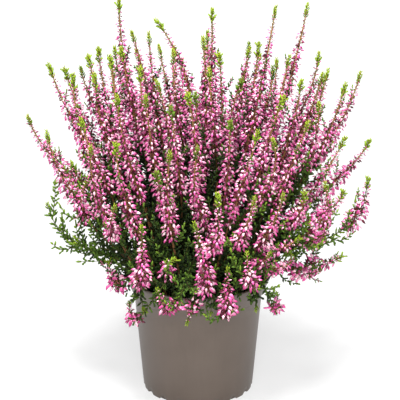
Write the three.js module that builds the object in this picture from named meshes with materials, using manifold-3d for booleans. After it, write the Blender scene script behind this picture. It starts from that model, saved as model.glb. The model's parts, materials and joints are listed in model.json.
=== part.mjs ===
// A bud-flowering heather (Calluna vulgaris) growing in a plastic nursery pot with a flared collar.
// Millimetres, +Z up. The pot's axis is the Z axis, its underside lies on z = 0 and -Y is its front.
import * as THREE from "three";
import { mergeVertices } from "three/addons/utils/BufferGeometryUtils.js";
import Module from "manifold-3d";

const wasm = await Module();
wasm.setup();

// ---- Driving dimensions -----------------------------------------------------------------------------

const POT = {
  height: 108,
  footRadius: 48.2,
  bodyTopRadius: 56,
  collarHeight: 18.5, // the flared band between the body and the rim
  collarStep: 0.9,
  rimRadius: 64.7,
  wall: 1.8,
  floor: 4.5,
  edgeRound: 1.2,
  segments: 36,
};
const NOTCH = { count: 18, width: 5.6, height: 3.2, depth: 2.4 }; // drain notches round the foot

const SOIL = {
  gap: 0.5,
  edgeHeight: 84,
  crown: 3.5, // how much higher the middle stands
  lumps: 1.1,
  segments: 16,
};
const SOIL_TOP = SOIL.edgeHeight + SOIL.crown + SOIL.lumps;

const FOOT = {
  depth: 14, // how far a stem goes down into the soil
  spread: 0.27, // share of a tip's reach at which its stem leaves the soil
  widest: 41,
  clearance: 0.75, // between a stem and the hole it stands in
};

// The zones of a spike, from its tip down. "step" is the length from one pair of florets or leaves to the
// next, "core" the stem's radius there, "peak" the radius out to the florets' ends, and "rise" how far
// those ends stand above their roots, or hang below them.
const TIP = { length: 12, step: 5.4, core: 1.0, peak: 3.8, rise: 2.8 };
const BUDS = { length: 26, step: 8.2, core: 1.0, peak: 5.6, rise: -3.2 };
const FLOWERS = { step: 8.8, core: 2.0, peak: 10, rise: -6 };
const LEAVES = { step: 18.5, core: 1.3, peak: 6, rise: 8 };
const WOOD = { step: 24, core: 1.5, peak: 1.5, rise: 0 };
const APEX = { length: 5, peak: 1.6 }; // the point that a green tip narrows to
const BUD_SHARE = 0.3; // the most of a run of flowers that is still in small bud
// Spikes with low tips flower more richly: "shorter" is how much less of them is green tip and young bud,
// "wider" how much further their flowers reach and "closer" how much nearer their pairs stand. All three
// fade out between two heights of the tip.
const LOW = { from: 160, to: 260, shorter: 0.55, wider: 0.25, closer: 0.25 };
const FLOWER_TAPER = 0.86; // width of the oldest flowers, as a share of the widest
const BARE_LENGTH = 15; // bare wood above the soil, and at the start of a fork
const TWIST = 0.05; // radians each pair of florets turns past the quarter turn
const UNEVEN = { turn: 0.5, length: 0.2 }; // how unevenly the pairs turn, and how far they reach

// The bend of a stem: the arm of its curve as a share of the chord, and its slants at foot and tip.
const CURVE = { arm: 0.36, footSlant: 9, tipSlant: 0.6, forkTipSlant: 0.55 };

const FORK_SPREAD = 0.4; // how fast the spikes of one stem part, as a share of the distance from the fork
const FORK_CLEAR = 6; // how far apart they are before they make room for each other
// How the spikes make room for each other. By the wall a spike claims no more than "hug".
const SETTLE = { rounds: 140, step: 6, gap: 1.5, pull: 0.4, tipHold: 0.12, hug: 6 };
const EASE = { free: [0.25, 1, 1, 0.3], bent: [0.1, 0.6, 0.6, 0.25] }; // how easily the handles give way
// What each ring of florets leaves free: "near" is how far it looks for other spikes, and with less than
// "floret" to spare it stays bare. It is narrower than "bend" times the radius of its spike's bend, and
// it keeps off its own spike where that comes back after "apart" times the ring's radius.
const ROOM = { least: 0.8, near: 24, wall: 1, soil: 0.8, floret: 0.7, bend: 0.8, apart: 2.6 };
const BACK_SEED = 11;
const FLORET_SEED = 5;

const COLOUR = { pot: 0x7d7068, soil: 0x2a2019, flowers: 0xd56aa8, leaves: 0x55702c };

// Flowering stems by where each tip stands, [x, y, z], and the length of its run of flowers.
// A fork is a second spike on the same stem; "at" is the share of the stem where it leaves, and "bend" is
// the outer handle of its curve where that isn't left to the usual rule.
// "lean" gives the stem's slant from the vertical in degrees, at the soil and at the tip.
const FLOWERING_STEMS = [
  {
    tip: [-145, 0, 250],
    flowers: 90,
    forks: [
      { tip: [-127, -30, 246], flowers: 72, at: 0.3 },
      { tip: [-108, -12, 212], flowers: 30, at: 0.4 },
    ],
  },
  { tip: [-127, 10, 293], flowers: 105, forks: [{ tip: [-115, 28, 284], flowers: 85, at: 0.35 }] },
  { tip: [-104, -20, 293], flowers: 108, forks: [{ tip: [-97, -50, 264], flowers: 75, at: 0.3 }] },
  { tip: [-93, 2, 303], flowers: 110, forks: [{ tip: [-87, -12, 291], flowers: 85, at: 0.4 }] },
  { tip: [-86, 38, 299], flowers: 98 },
  { tip: [-73, -17, 308], flowers: 110 },
  {
    tip: [-66, 5, 351],
    flowers: 150,
    lean: [5, 3],
    forks: [{ tip: [-64, -28, 318], flowers: 100, at: 0.4 }],
  },
  { tip: [-57, 26, 317], flowers: 112 },
  { tip: [-41, -8, 325], flowers: 120, forks: [{ tip: [-48, -34, 303], flowers: 85, at: 0.45 }] },
  {
    tip: [-36, 12, 331],
    flowers: 128,
    lean: [2, 38],
    forks: [{ tip: [-21, -4, 309], flowers: 95, at: 0.45 }],
  },
  { tip: [-35, -34, 292], flowers: 95, forks: [{ tip: [-22, -85, 286], flowers: 95, at: 0.25 }] },
  { tip: [-43, -70, 290], flowers: 105, forks: [{ tip: [-34, -98, 234], flowers: 66, at: 0.35 }] },
  { tip: [-66, -66, 289], flowers: 105 },
  { tip: [-9, -57, 288], flowers: 105, forks: [{ tip: [-2, -32, 280], flowers: 85, at: 0.35 }] },
  { tip: [4, 0, 319], flowers: 122 },
  { tip: [12, 26, 337], flowers: 130 },
  { tip: [17, -40, 317], flowers: 112, forks: [{ tip: [9, -50, 307], flowers: 80, at: 0.5 }] },
  { tip: [44, 10, 307], flowers: 112, forks: [{ tip: [37, -14, 287], flowers: 80, at: 0.45 }] },
  {
    tip: [65, 0, 346],
    flowers: 150,
    lean: [4, 17],
    forks: [{ tip: [64, 34, 283], flowers: 60, at: 0.45 }],
  },
  { tip: [76, -27, 311], flowers: 112 },
  {
    tip: [92, 6, 346],
    flowers: 150,
    lean: [6, 13],
    forks: [{ tip: [103, 20, 300], flowers: 90, at: 0.4 }],
  },
  {
    tip: [84, -68, 302],
    flowers: 105,
    forks: [
      { tip: [70, -76, 291], flowers: 90, at: 0.35 },
      { tip: [87, -92, 215], flowers: 54, at: 0.25 },
    ],
  },
  { tip: [104, -28, 296], flowers: 95, forks: [{ tip: [99, -58, 280], flowers: 70, at: 0.4 }] },
  { tip: [138, 8, 286], flowers: 100, forks: [{ tip: [124, -14, 283], flowers: 85, at: 0.4 }] },
  {
    tip: [123, -38, 243],
    flowers: 90,
    forks: [
      { tip: [122, -56, 202], flowers: 52, at: 0.4 },
      { tip: [108, -60, 180], flowers: 42, at: 0.25 },
    ],
  },
  { tip: [147, 0, 228], flowers: 85, lean: [8, 18] },
  { tip: [90, -84, 272], flowers: 90, forks: [{ tip: [104, -80, 218], flowers: 52, at: 0.35 }] },
  {
    tip: [48, -104, 271],
    flowers: 100,
    forks: [
      { tip: [60, -98, 262], flowers: 80, at: 0.5 },
      { tip: [46, -112, 217], flowers: 60, at: 0.3 },
    ],
  },
  {
    tip: [26, -92, 275],
    flowers: 115,
    forks: [
      { tip: [0, -106, 258], flowers: 104, at: 0.35 },
      { tip: [16, -114, 221], flowers: 84, at: 0.3, bend: [38, -122, 136] },
    ],
  },
  {
    tip: [-22, -112, 256],
    flowers: 92,
    forks: [
      { tip: [-3, -114, 196], flowers: 72, at: 0.2, bend: [2, -118, 92] },
      { tip: [-18, -98, 157], flowers: 24, at: 0.2 },
    ],
  },
  {
    tip: [-66, -98, 259],
    flowers: 98,
    forks: [{ tip: [-46, -100, 188], flowers: 74, at: 0.2, bend: [2, -104, 98] }],
  },
  {
    tip: [-88, -78, 250],
    flowers: 88,
    forks: [
      { tip: [-67, -92, 203], flowers: 56, at: 0.42 },
      { tip: [-89, -62, 214], flowers: 50, at: 0.3 },
    ],
  },
  {
    tip: [69, -107, 218],
    flowers: 66,
    forks: [
      { tip: [85, -76, 168], flowers: 40, at: 0.42 },
      { tip: [40, -108, 168], flowers: 34, at: 0.2 },
      { tip: [59, -100, 164], flowers: 34, at: 0.45 },
      { tip: [78, -64, 148], flowers: 34, at: 0.3 },
    ],
  },
];

// Stems on the far side: a fan between two azimuths, each with a high and a low fork. Its inner and outer
// tips take turns, and the tips stand lower the further out they are.
const BACK_FAN = {
  stems: 8,
  from: 22,
  to: 158,
  high: 318,
  fall: 0.00265, // times the square of a tip's reach
  flowers: 98,
  forkFlowers: 24, // fewer than on the stem
  forkAt: 0.35,
  jitter: 14,
  outer: { reach: 128, jitter: -14, forkTurn: -0.17, forkReach: -6 },
  inner: { reach: 62, jitter: 14, forkTurn: 0.34, forkReach: 26 },
  low: { reach: 108, high: 208, flowers: 58, at: 0.25, turn: 0.12 },
};

// Sprigs that hang over the rim or stand low outside it. "bend" holds the curve's two inner handles.
const TRAILING_SPRIGS = [
  { tip: [-77, -33, 130], flowers: 36, bend: [[-30, -35, 205], [-46, -78, 62]] },
  { tip: [-56, -48, 100], flowers: 30, bend: [[-14, -47, 190], [-40, -84, 66]] },
  { tip: [-34, -87, 127], flowers: 34, bend: [[-4, -48, 212], [-6, -106, 50]] },
  { tip: [-7, -84, 94], flowers: 20, bend: [[1, -34, 120], [4, -66, 156]] },
  { tip: [24, -98, 150], flowers: 50, bend: [[30, -28, 200], [34, -112, 30]] },
  { tip: [66, -46, 106], flowers: 30, bend: [[30, -26, 212], [42, -88, 60]] },
  { tip: [105, -30, 121], flowers: 30, bend: [[4, -27, 154], [75, -50, 100]] },
  { tip: [125, -12, 126], flowers: 34, bend: [[12, -22, 146], [92, -38, 101]] },
  { tip: [145, -12, 198], flowers: 54, bend: [[-10, -20, 158], [141, -18, 79]] },
  { tip: [-130, -5, 172], flowers: 0, bend: [[-2, -8, 142], [-112, -9, 76]] },
  { tip: [-36, 88, 120], flowers: 30, bend: [[-16, 43, 150], [-18, 56, 106]] },
];

// Shoots with leaves only, inside the crown and lying over the rim.
const LEAFY_SHOOTS = [
  { tip: [-106, -18, 146], bend: [[-38, -10, 146], [-84, -18, 116]] },
  { tip: [-46, -60, 92], bend: [[-26, -30, 160], [-46, -64, 122]] },
  { tip: [7, -73, 96], bend: [[6, -36, 158], [12, -76, 124]] },
  { tip: [50, -60, 94], bend: [[26, -28, 160], [48, -64, 124]] },
  { tip: [-28, -72, 176], bend: [[-12, -24, 110], [-26, -62, 138]] },
  { tip: [56, 58, 96], bend: [[26, 28, 162], [52, 60, 128]] },
];

// ---- Small vector and number helpers ----------------------------------------------------------------

const add = (a, b) => a.map((v, i) => v + b[i]);
const subtract = (a, b) => a.map((v, i) => v - b[i]);
const scaled = (a, k) => a.map((v) => v * k);
const mix = (a, b, k) => a.map((v, i) => v + (b[i] - v) * k);
const dot = (a, b) => a.reduce((sum, v, i) => sum + v * b[i], 0);
const cross = (a, b) => [
  a[1] * b[2] - a[2] * b[1],
  a[2] * b[0] - a[0] * b[2],
  a[0] * b[1] - a[1] * b[0],
];
const length = (a) => Math.hypot(...a);
const unit = (a) => scaled(a, 1 / (length(a) || 1));
const blend = (low, high, k) => low + (high - low) * Math.min(1, Math.max(0, k));
const radians = (degrees) => (degrees * Math.PI) / 180;

function seededRandom(seed) {
  let state = seed;
  return () => {
    state = (Math.imul(state, 1664525) + 1013904223) >>> 0;
    return state / 4294967296;
  };
}

// ---- Stem curves: one cubic for each spike ----------------------------------------------------------

const bernstein = (t) => [(1 - t) ** 3, 3 * t * (1 - t) ** 2, 3 * t * t * (1 - t), t ** 3];

function pointAt(handles, t) {
  const weights = bernstein(t);
  return [0, 1, 2].map((axis) =>
    handles.reduce((sum, handle, i) => sum + handle[axis] * weights[i], 0),
  );
}

// Points a fixed step apart along a curve, each with its curve parameter and distance from the start.
function walk(handles, step) {
  const pieces = 60;
  const fine = Array.from({ length: pieces + 1 }, (_, i) => pointAt(handles, i / pieces));
  const reached = [0];
  for (let i = 1; i <= pieces; i++) {
    reached.push(reached[i - 1] + length(subtract(fine[i], fine[i - 1])));
  }
  const whole = reached[pieces];
  const count = Math.max(2, Math.ceil(whole / step));
  const steps = [];
  for (let i = 0, at = 1; i <= count; i++) {
    const distance = (whole * i) / count;
    while (at < pieces && reached[at] < distance) at++;
    const share = (distance - reached[at - 1]) / (reached[at] - reached[at - 1]);
    steps.push({ t: (at - 1 + share) / pieces, distance, point: mix(fine[at - 1], fine[at], share) });
  }
  return { steps, whole };
}

// The curve's handles from its two ends and its slants from the vertical there.
function curveBetween(start, end, slants) {
  const chord = subtract(end, start);
  const across = unit([chord[0], chord[1], 0]);
  const armAt = (slant) =>
    scaled(add(scaled(across, Math.sin(slant)), [0, 0, Math.cos(slant)]), CURVE.arm * length(chord));
  return [start, add(start, armAt(slants[0])), subtract(end, armAt(slants[1])), end];
}

function slantOf(start, end) {
  return Math.atan2(Math.hypot(end[0] - start[0], end[1] - start[1]), end[2] - start[2]);
}

function footOf(tip) {
  const reach = Math.hypot(tip[0], tip[1]);
  const radius = Math.min(FOOT.widest, 5 + FOOT.spread * reach);
  return [(tip[0] / reach) * radius, (tip[1] / reach) * radius, SOIL.edgeHeight - FOOT.depth];
}

function stemCurve(stem) {
  const start = footOf(stem.tip);
  if (stem.bend) return [start, ...stem.bend, stem.tip];
  const usual = [radians(CURVE.footSlant), CURVE.tipSlant * slantOf(start, stem.tip)];
  return curveBetween(start, stem.tip, stem.lean ? stem.lean.map(radians) : usual);
}

// A fork leaves its parent along the parent's own direction. "bend" gives its curve's outer handle.
function forkCurve(parent, fork) {
  const { steps } = walk(parent, 4);
  const { t, point } = steps[Math.round(fork.at * (steps.length - 1))];
  const forward = unit(subtract(pointAt(parent, Math.min(1, t + 0.03)), point));
  const arm = CURVE.arm * length(subtract(fork.tip, point));
  const usual = curveBetween(point, fork.tip, [0, CURVE.forkTipSlant * slantOf(point, fork.tip)]);
  return [point, add(point, scaled(forward, arm)), fork.bend ?? usual[2], fork.tip];
}

// ---- How wide a spike is along its length -----------------------------------------------------------

// How low a spike stands, from 0 to 1.
const lowness = (spike) => blend(1, 0, (spike.tip[2] - LOW.from) / (LOW.to - LOW.from));
const youngShare = (spike) => 1 - LOW.shorter * lowness(spike);
const tipLength = (spike) => TIP.length * youngShare(spike);
const budLength = (spike) => Math.min(BUDS.length * youngShare(spike), BUD_SHARE * spike.flowers);

// The zone of a spike at a distance from its tip.
function zoneAt(spike, fromTip, whole) {
  if (whole - fromTip < spike.bare) return WOOD;
  if (fromTip < tipLength(spike)) return TIP;
  if (!spike.flowers || fromTip >= spike.flowers) return LEAVES;
  return fromTip < tipLength(spike) + budLength(spike) ? BUDS : FLOWERS;
}

// Radius of the florets or leaves at a distance from the tip, as they would grow with room to spare.
function naturalPeak(spike, fromTip, whole) {
  const zone = zoneAt(spike, fromTip, whole);
  if (zone === TIP) return blend(APEX.peak, TIP.peak, fromTip / APEX.length);
  const width = 1 + LOW.wider * lowness(spike);
  const below = fromTip - tipLength(spike);
  if (zone === BUDS) return blend(TIP.peak, width * BUDS.peak, below / budLength(spike));
  if (zone === FLOWERS) {
    const share = (below - budLength(spike)) / (spike.flowers - tipLength(spike) - budLength(spike));
    return width * blend(BUDS.peak, FLOWERS.peak, 1.9 * share) * blend(1, FLOWER_TAPER, share);
  }
  return zone.peak;
}

// ---- Making room: neighbouring spikes push each other's curves apart --------------------------------

// The pot's outer wall as a profile of [radius, height].
const POT_WALL = [
  [POT.footRadius, 0],
  [POT.bodyTopRadius, POT.height - POT.collarHeight],
  [POT.rimRadius, POT.height],
];

// The way out of the pot's wall from a point, and how far off the wall is.
function offWall(point) {
  const radius = Math.hypot(point[0], point[1]);
  let best = { distance: Infinity };
  for (let i = 1; i < POT_WALL.length; i++) {
    const [r0, z0] = POT_WALL[i - 1];
    const [r1, z1] = POT_WALL[i];
    const along = (radius - r0) * (r1 - r0) + (point[2] - z0) * (z1 - z0);
    const k = Math.min(1, Math.max(0, along / ((r1 - r0) ** 2 + (z1 - z0) ** 2)));
    const out = [radius - r0 - (r1 - r0) * k, point[2] - z0 - (z1 - z0) * k];
    const distance = Math.hypot(...out);
    if (distance < best.distance) best = { distance, out };
  }
  const sideways = best.out[0] / (best.distance * radius);
  const way = [point[0] * sideways, point[1] * sideways, best.out[1] / best.distance];
  return { distance: best.distance, way };
}

function samplesOf(spikes) {
  return spikes.flatMap((spike) => {
    const { steps, whole } = walk(spike.handles, SETTLE.step);
    return steps.map((step) => ({
      ...step,
      spike,
      radius: naturalPeak(spike, whole - step.distance, whole),
      spread: spike.parent ? FORK_SPREAD * step.distance : Infinity,
    }));
  });
}

// Moves a curve's handles so that the curve shifts by "move" at parameter t.
function nudge(spike, t, move) {
  const weights = bernstein(t).map((weight, i) => weight * spike.ease[i]);
  const total = bernstein(t).reduce((sum, weight, i) => sum + weight * weights[i], 0);
  const pull = SETTLE.pull / Math.max(total, 0.15);
  weights.forEach((weight, i) => {
    spike.shift[i] = add(spike.shift[i], scaled(move, pull * weight));
    spike.pushes[i] += weight;
  });
}

// The distance between two points, or Infinity as soon as one axis shows it is over the limit.
function nearness(p, q, limit) {
  const x = Math.abs(p[0] - q[0]);
  if (x > limit) return Infinity;
  const y = Math.abs(p[1] - q[1]);
  if (y > limit) return Infinity;
  const z = Math.abs(p[2] - q[2]);
  return z > limit ? Infinity : Math.sqrt(x * x + y * y + z * z);
}

// How far apart two points on the stems should lie. Spikes of one stem part gradually from their fork.
function wantedBetween(a, b) {
  const wanted = a.radius + b.radius + SETTLE.gap;
  return a.spike.stem === b.spike.stem ? Math.min(wanted, a.spread, b.spread) : wanted;
}

function pushApart(a, b) {
  const wanted = wantedBetween(a, b);
  const distance = nearness(a.point, b.point, wanted);
  if (distance >= wanted) return;
  const away = subtract(a.point, b.point);
  const sideways = unit([away[0], away[1], 0.4 * away[2]]);
  const move = scaled(sideways, (wanted - distance) / 2);
  nudge(a.spike, a.t, move);
  nudge(b.spike, b.t, scaled(move, -1));
}

function pushOffWall(a) {
  const wall = offWall(a.point);
  const wanted = Math.min(a.radius, SETTLE.hug) + POT.wall + SETTLE.gap;
  if (wall.distance >= wanted || a.point[2] <= SOIL.edgeHeight) return;
  nudge(a.spike, a.t, scaled(wall.way, wanted - wall.distance));
}

// Moves a curve's handles by the mean of their nudges, and draws its two ends back to where they belong.
function giveWay(spike) {
  spike.handles = spike.handles.map((handle, i) =>
    add(handle, scaled(spike.shift[i], 1 / spike.pushes[i])),
  );
  spike.handles[3] = mix(spike.handles[3], spike.tip, SETTLE.tipHold);
  if (spike.parent) {
    spike.handles[0] = forkCurve(spike.parent.handles, spike.fork)[0];
  } else {
    spike.handles[0][2] = SOIL.edgeHeight - FOOT.depth;
  }
}

function settle(spikes) {
  for (let round = 0; round < SETTLE.rounds; round++) {
    for (const spike of spikes) {
      spike.shift = spike.handles.map(() => [0, 0, 0]);
      spike.pushes = [1, 1, 1, 1];
    }
    const samples = samplesOf(spikes);
    samples.forEach((a, i) => {
      for (let j = i + 1; j < samples.length; j++) {
        if (samples[j].spike !== a.spike) pushApart(a, samples[j]);
      }
      pushOffWall(a);
    });
    spikes.forEach(giveWay);
  }
}

// ---- The plan: every spike of the plant, with its curve settled -------------------------------------

function backStems() {
  const fan = BACK_FAN;
  const random = seededRandom(BACK_SEED);
  const ringPoint = (azimuth, reach, height) => [
    reach * Math.cos(azimuth),
    reach * Math.sin(azimuth),
    height,
  ];
  const tipAt = (azimuth, reach) =>
    ringPoint(azimuth, reach, fan.high - fan.fall * reach ** 2 - fan.jitter * random());
  return Array.from({ length: fan.stems }, (_, i) => {
    const row = i % 2 ? fan.inner : fan.outer;
    const azimuth = radians(blend(fan.from, fan.to, (i + 0.2 + 0.6 * random()) / fan.stems));
    const reach = row.reach + row.jitter * random();
    const flowers = fan.flowers - fan.jitter * random();
    const forkTip = tipAt(azimuth + row.forkTurn, reach + row.forkReach);
    const lowTip = ringPoint(azimuth + fan.low.turn, fan.low.reach, fan.low.high - fan.jitter * random());
    const forks = [
      { tip: forkTip, flowers: flowers - fan.forkFlowers, at: fan.forkAt },
      { tip: lowTip, flowers: fan.low.flowers, at: fan.low.at },
    ];
    return { tip: tipAt(azimuth, reach), flowers, forks };
  });
}

function planStems() {
  const numbered = (stems, name) =>
    stems.map((stem, i) => ({ ...stem, name: name + "_" + String(i + 1).padStart(2, "0") }));
  const stems = [
    ...numbered([...FLOWERING_STEMS, ...backStems()], "flowering_stem"),
    ...numbered(TRAILING_SPRIGS, "trailing_sprig"),
    ...numbered(LEAFY_SHOOTS, "leafy_shoot"),
  ];
  const spikes = [];
  for (const stem of stems) {
    const parent = {
      stem: stem.name,
      tip: stem.tip,
      flowers: stem.flowers,
      handles: stemCurve(stem),
      ease: stem.bend ? EASE.bent : EASE.free,
      bare: FOOT.depth + (stem.bend ? 0.4 * BARE_LENGTH : BARE_LENGTH),
    };
    spikes.push(parent);
    for (const fork of stem.forks ?? []) {
      const { tip, flowers } = fork;
      const handles = forkCurve(parent.handles, fork);
      const ease = fork.bend ? EASE.bent : parent.ease;
      spikes.push({ ...parent, tip, flowers, handles, ease, parent, fork, bare: BARE_LENGTH });
    }
  }
  settle(spikes);
  return { stems, spikes };
}

// ---- Spikes as solids -------------------------------------------------------------------------------

// The radius of the circle through three points.
function circleRadius(a, b, c) {
  const sides = length(subtract(b, a)) * length(subtract(c, b)) * length(subtract(a, c));
  return sides / (2 * length(cross(subtract(b, a), subtract(c, a))));
}

// Whether a ring has to keep off a sample. Close to a fork the spikes of one stem grow into each other.
function keepsOff(ring, other) {
  if (other.spike === ring.spike) {
    return Math.abs(other.distance - ring.distance) > ROOM.apart * ring.radius;
  }
  return other.spike.stem !== ring.spike.stem || Math.min(other.spread, ring.spread) >= FORK_CLEAR;
}

// The largest radius that stays clear of every other spike and of the pot at one ring.
function roomAt(ring, samples) {
  const { point, radius } = ring;
  let room = Math.min(radius, ROOM.bend * ring.bend);
  for (const other of samples) {
    if (!keepsOff(ring, other)) continue;
    const share = radius / (radius + other.radius);
    room = Math.min(room, (nearness(point, other.point, ROOM.near) - SETTLE.gap) * share);
  }
  const overSoil = Math.hypot(point[0], point[1]) < POT.bodyTopRadius && point[2] > SOIL.edgeHeight;
  const wall = offWall(point).distance - POT.wall - ROOM.wall;
  const soil = overSoil ? Math.max(point[2] - SOIL_TOP - ROOM.soil, WOOD.core) : Infinity;
  return Math.max(ROOM.least, Math.min(room, wall, soil));
}

// Where the rings of florets sit along a spike, from its start to its tip.
function ringPlan(spike, whole) {
  const rings = [];
  let fromTip = 1.5;
  while (fromTip < whole - 2) {
    const zone = zoneAt(spike, fromTip, whole);
    rings.unshift({ fromTip, zone });
    fromTip += zone.step * (1 - LOW.closer * lowness(spike));
  }
  rings.unshift({ fromTip: whole, zone: WOOD });
  return rings;
}

// A spike is lofted through four-sided rings. Two opposite corners of each ring reach out as florets or
// leaves and two stay in on the core, and the pairs cross from ring to ring, so each floret is a small
// four-sided pyramid that grows out of the stem.
function spikeSolid(spike, samples, random) {
  const { steps, whole } = walk(spike.handles, 2);
  const positions = [];
  const faces = [];
  let side = [1, 0, 0];
  ringPlan(spike, whole).forEach(({ fromTip, zone }, i) => {
    const share = (whole - fromTip) / whole;
    const index = Math.min(steps.length - 2, Math.round(share * (steps.length - 1)));
    const { point, distance } = steps[index];
    const before = steps[Math.max(0, index - 1)].point;
    const after = steps[index + 1].point;
    const forward = unit(subtract(after, before));
    side = unit(subtract(side, scaled(forward, dot(side, forward))));
    const third = cross(forward, side);
    const natural = naturalPeak(spike, fromTip, whole);
    const spread = spike.parent ? FORK_SPREAD * (whole - fromTip) : Infinity;
    const bend = index > 0 ? circleRadius(before, point, after) : Infinity;
    const room = roomAt({ spike, point, distance, radius: natural, spread, bend }, samples);
    const core = Math.min(zone.core, room);
    const bare = zone === WOOD || room < core + ROOM.floret;
    const lift = (zone.rise * (room - core)) / Math.max(natural - core, 1);
    const turn = i * TWIST + UNEVEN.turn * (random() - 0.5);
    for (let corner = 0; corner < 4; corner++) {
      const peak = !bare && (corner + i) % 2 === 0;
      const reach = (room - core) * (1 - UNEVEN.length * random());
      const radius = peak ? core + reach : core;
      const angle = (corner * Math.PI) / 2 + turn;
      const outward = add(scaled(side, Math.cos(angle)), scaled(third, Math.sin(angle)));
      positions.push(add(add(point, scaled(outward, radius)), scaled(forward, peak ? lift : 0)));
    }
    if (i > 0) faces.push(...floretFaces(4 * (i - 1), 4 * i, i));
  });
  const last = positions.length - 4;
  const top = positions.length;
  positions.push(pointAt(spike.handles, 1));
  for (let corner = 0; corner < 4; corner++) faces.push(last + corner, last + ((corner + 1) % 4), top);
  faces.push(2, 1, 0, 3, 2, 0);
  return solidFromTriangles(positions, faces);
}

// The band of faces between two rings, split along the edges that join the corners left on the core.
function floretFaces(lower, upper, turn) {
  return [0, 1, 2, 3].flatMap((corner) => {
    const next = (corner + 1) % 4;
    const [a, b, c, d] = [lower + corner, lower + next, upper + next, upper + corner];
    return (corner + turn) % 2 === 0 ? [a, b, d, b, c, d] : [a, b, c, a, c, d];
  });
}

function solidFromTriangles(positions, faces) {
  return new wasm.Manifold(
    new wasm.Mesh({
      numProp: 3,
      vertProperties: new Float32Array(positions.flat()),
      triVerts: new Uint32Array(faces),
    }),
  );
}

// The one outer body of a joined stem, without the pockets that crossing florets close off.
function wholeBody(solid) {
  return solid.decompose().reduce((best, body) => (body.volume() > best.volume() ? body : best));
}

// The round hole that a stem's foot stands in: a slightly wider four-sided tube along the same curve.
function footHole(spike) {
  const { steps } = walk(spike.handles, 2);
  const end = steps.findIndex(({ point }) => point[2] > SOIL_TOP + 2);
  const below = subtract(steps[0].point, scaled(unit(subtract(steps[1].point, steps[0].point)), 0.6));
  const radius = (WOOD.core + FOOT.clearance) * Math.SQRT2;
  const positions = [below, steps[end].point].flatMap((point) =>
    [0, 1, 2, 3].map((corner) => {
      const angle = (corner * Math.PI) / 2;
      return add(point, [radius * Math.cos(angle), radius * Math.sin(angle), 0]);
    }),
  );
  const faces = [2, 1, 0, 3, 2, 0, 4, 5, 6, 4, 6, 7];
  for (let corner = 0; corner < 4; corner++) {
    const next = (corner + 1) % 4;
    faces.push(corner, next, 4 + next, corner, 4 + next, 4 + corner);
  }
  return solidFromTriangles(positions, faces);
}

// ---- Pot and soil -----------------------------------------------------------------------------------

function solidFromGeometry(geometry) {
  const bare = geometry.index ? geometry.toNonIndexed() : geometry.clone();
  bare.deleteAttribute("normal");
  bare.deleteAttribute("uv");
  const merged = mergeVertices(bare, 1e-4);
  return new wasm.Manifold(
    new wasm.Mesh({
      numProp: 3,
      vertProperties: merged.attributes.position.array,
      triVerts: new Uint32Array(merged.index.array),
    }),
  );
}

// Turns a profile of [radius, height] round the Z axis.
function turned(profile, segments) {
  const points = profile.map(([radius, height]) => new THREE.Vector2(radius, height));
  return new THREE.LatheGeometry(points, segments).rotateX(Math.PI / 2);
}

function potSolid() {
  const collarFoot = POT.height - POT.collarHeight;
  const round = POT.edgeRound;
  const profile = [
    [0, 0],
    [POT.footRadius - round, 0],
    [POT.footRadius, round],
    [POT.bodyTopRadius, collarFoot - 1],
    [POT.bodyTopRadius + POT.collarStep, collarFoot],
    [POT.rimRadius, POT.height - 1],
    [POT.rimRadius - 0.7, POT.height],
    [POT.rimRadius - POT.wall, POT.height - 0.3],
    [POT.bodyTopRadius - POT.wall, collarFoot - 0.4],
    [POT.footRadius - POT.wall, POT.floor],
    [0, POT.floor],
  ];
  let pot = solidFromGeometry(turned(profile, POT.segments));
  for (let i = 0; i < NOTCH.count; i++) {
    const notch = new THREE.BoxGeometry(2 * NOTCH.depth, NOTCH.width, 2 * NOTCH.height);
    notch.translate(POT.footRadius + 0.3, 0, 0).rotateZ(((i + 0.5) * 2 * Math.PI) / NOTCH.count);
    pot = pot.subtract(solidFromGeometry(notch));
  }
  return pot;
}

// The peat's radius inside the pot at a height.
function soilRadius(height) {
  const share = height / (POT.height - POT.collarHeight);
  return blend(POT.footRadius, POT.bodyTopRadius, share) - POT.wall - SOIL.gap - 0.2;
}

function soilTop(x, y) {
  const share = Math.hypot(x, y) / soilRadius(SOIL.edgeHeight);
  const lump = Math.sin(x * 0.31 + 1) * Math.cos(y * 0.27 - 0.4) + 0.5 * Math.sin(x * 0.11 - y * 0.19);
  return SOIL.edgeHeight + SOIL.crown * (1 - share ** 2) + SOIL.lumps * lump * (1 - share ** 4);
}

function soilSolid(spikes) {
  const bottom = POT.floor + 0.4;
  const profile = [
    [0, bottom],
    [soilRadius(bottom) - 1.6, bottom],
    [soilRadius(bottom + 1.6), bottom + 1.6],
    [soilRadius(SOIL.edgeHeight), SOIL.edgeHeight],
  ];
  profile.push([0.5 * soilRadius(SOIL.edgeHeight), SOIL.edgeHeight + 1], [0, SOIL.edgeHeight + 1]);
  const geometry = turned(profile, SOIL.segments);
  const position = geometry.attributes.position;
  for (let i = 0; i < position.count; i++) {
    if (position.getZ(i) > SOIL.edgeHeight + 0.5) {
      position.setZ(i, soilTop(position.getX(i), position.getY(i)));
    }
  }
  const standing = spikes.filter((spike) => !spike.parent);
  return standing.reduce((soil, spike) => soil.subtract(footHole(spike)), solidFromGeometry(geometry));
}

// ---- The group of named meshes ----------------------------------------------------------------------

function meshOf(name, solid, colour, roughness) {
  const mesh = solid.getMesh();
  const geometry = new THREE.BufferGeometry();
  geometry.setAttribute("position", new THREE.BufferAttribute(mesh.vertProperties, 3));
  geometry.setIndex(new THREE.BufferAttribute(mesh.triVerts, 1));
  geometry.computeVertexNormals();
  const made = new THREE.Mesh(
    geometry,
    new THREE.MeshStandardMaterial({ color: colour, roughness, metalness: 0 }),
  );
  made.name = name;
  return made;
}

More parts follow.
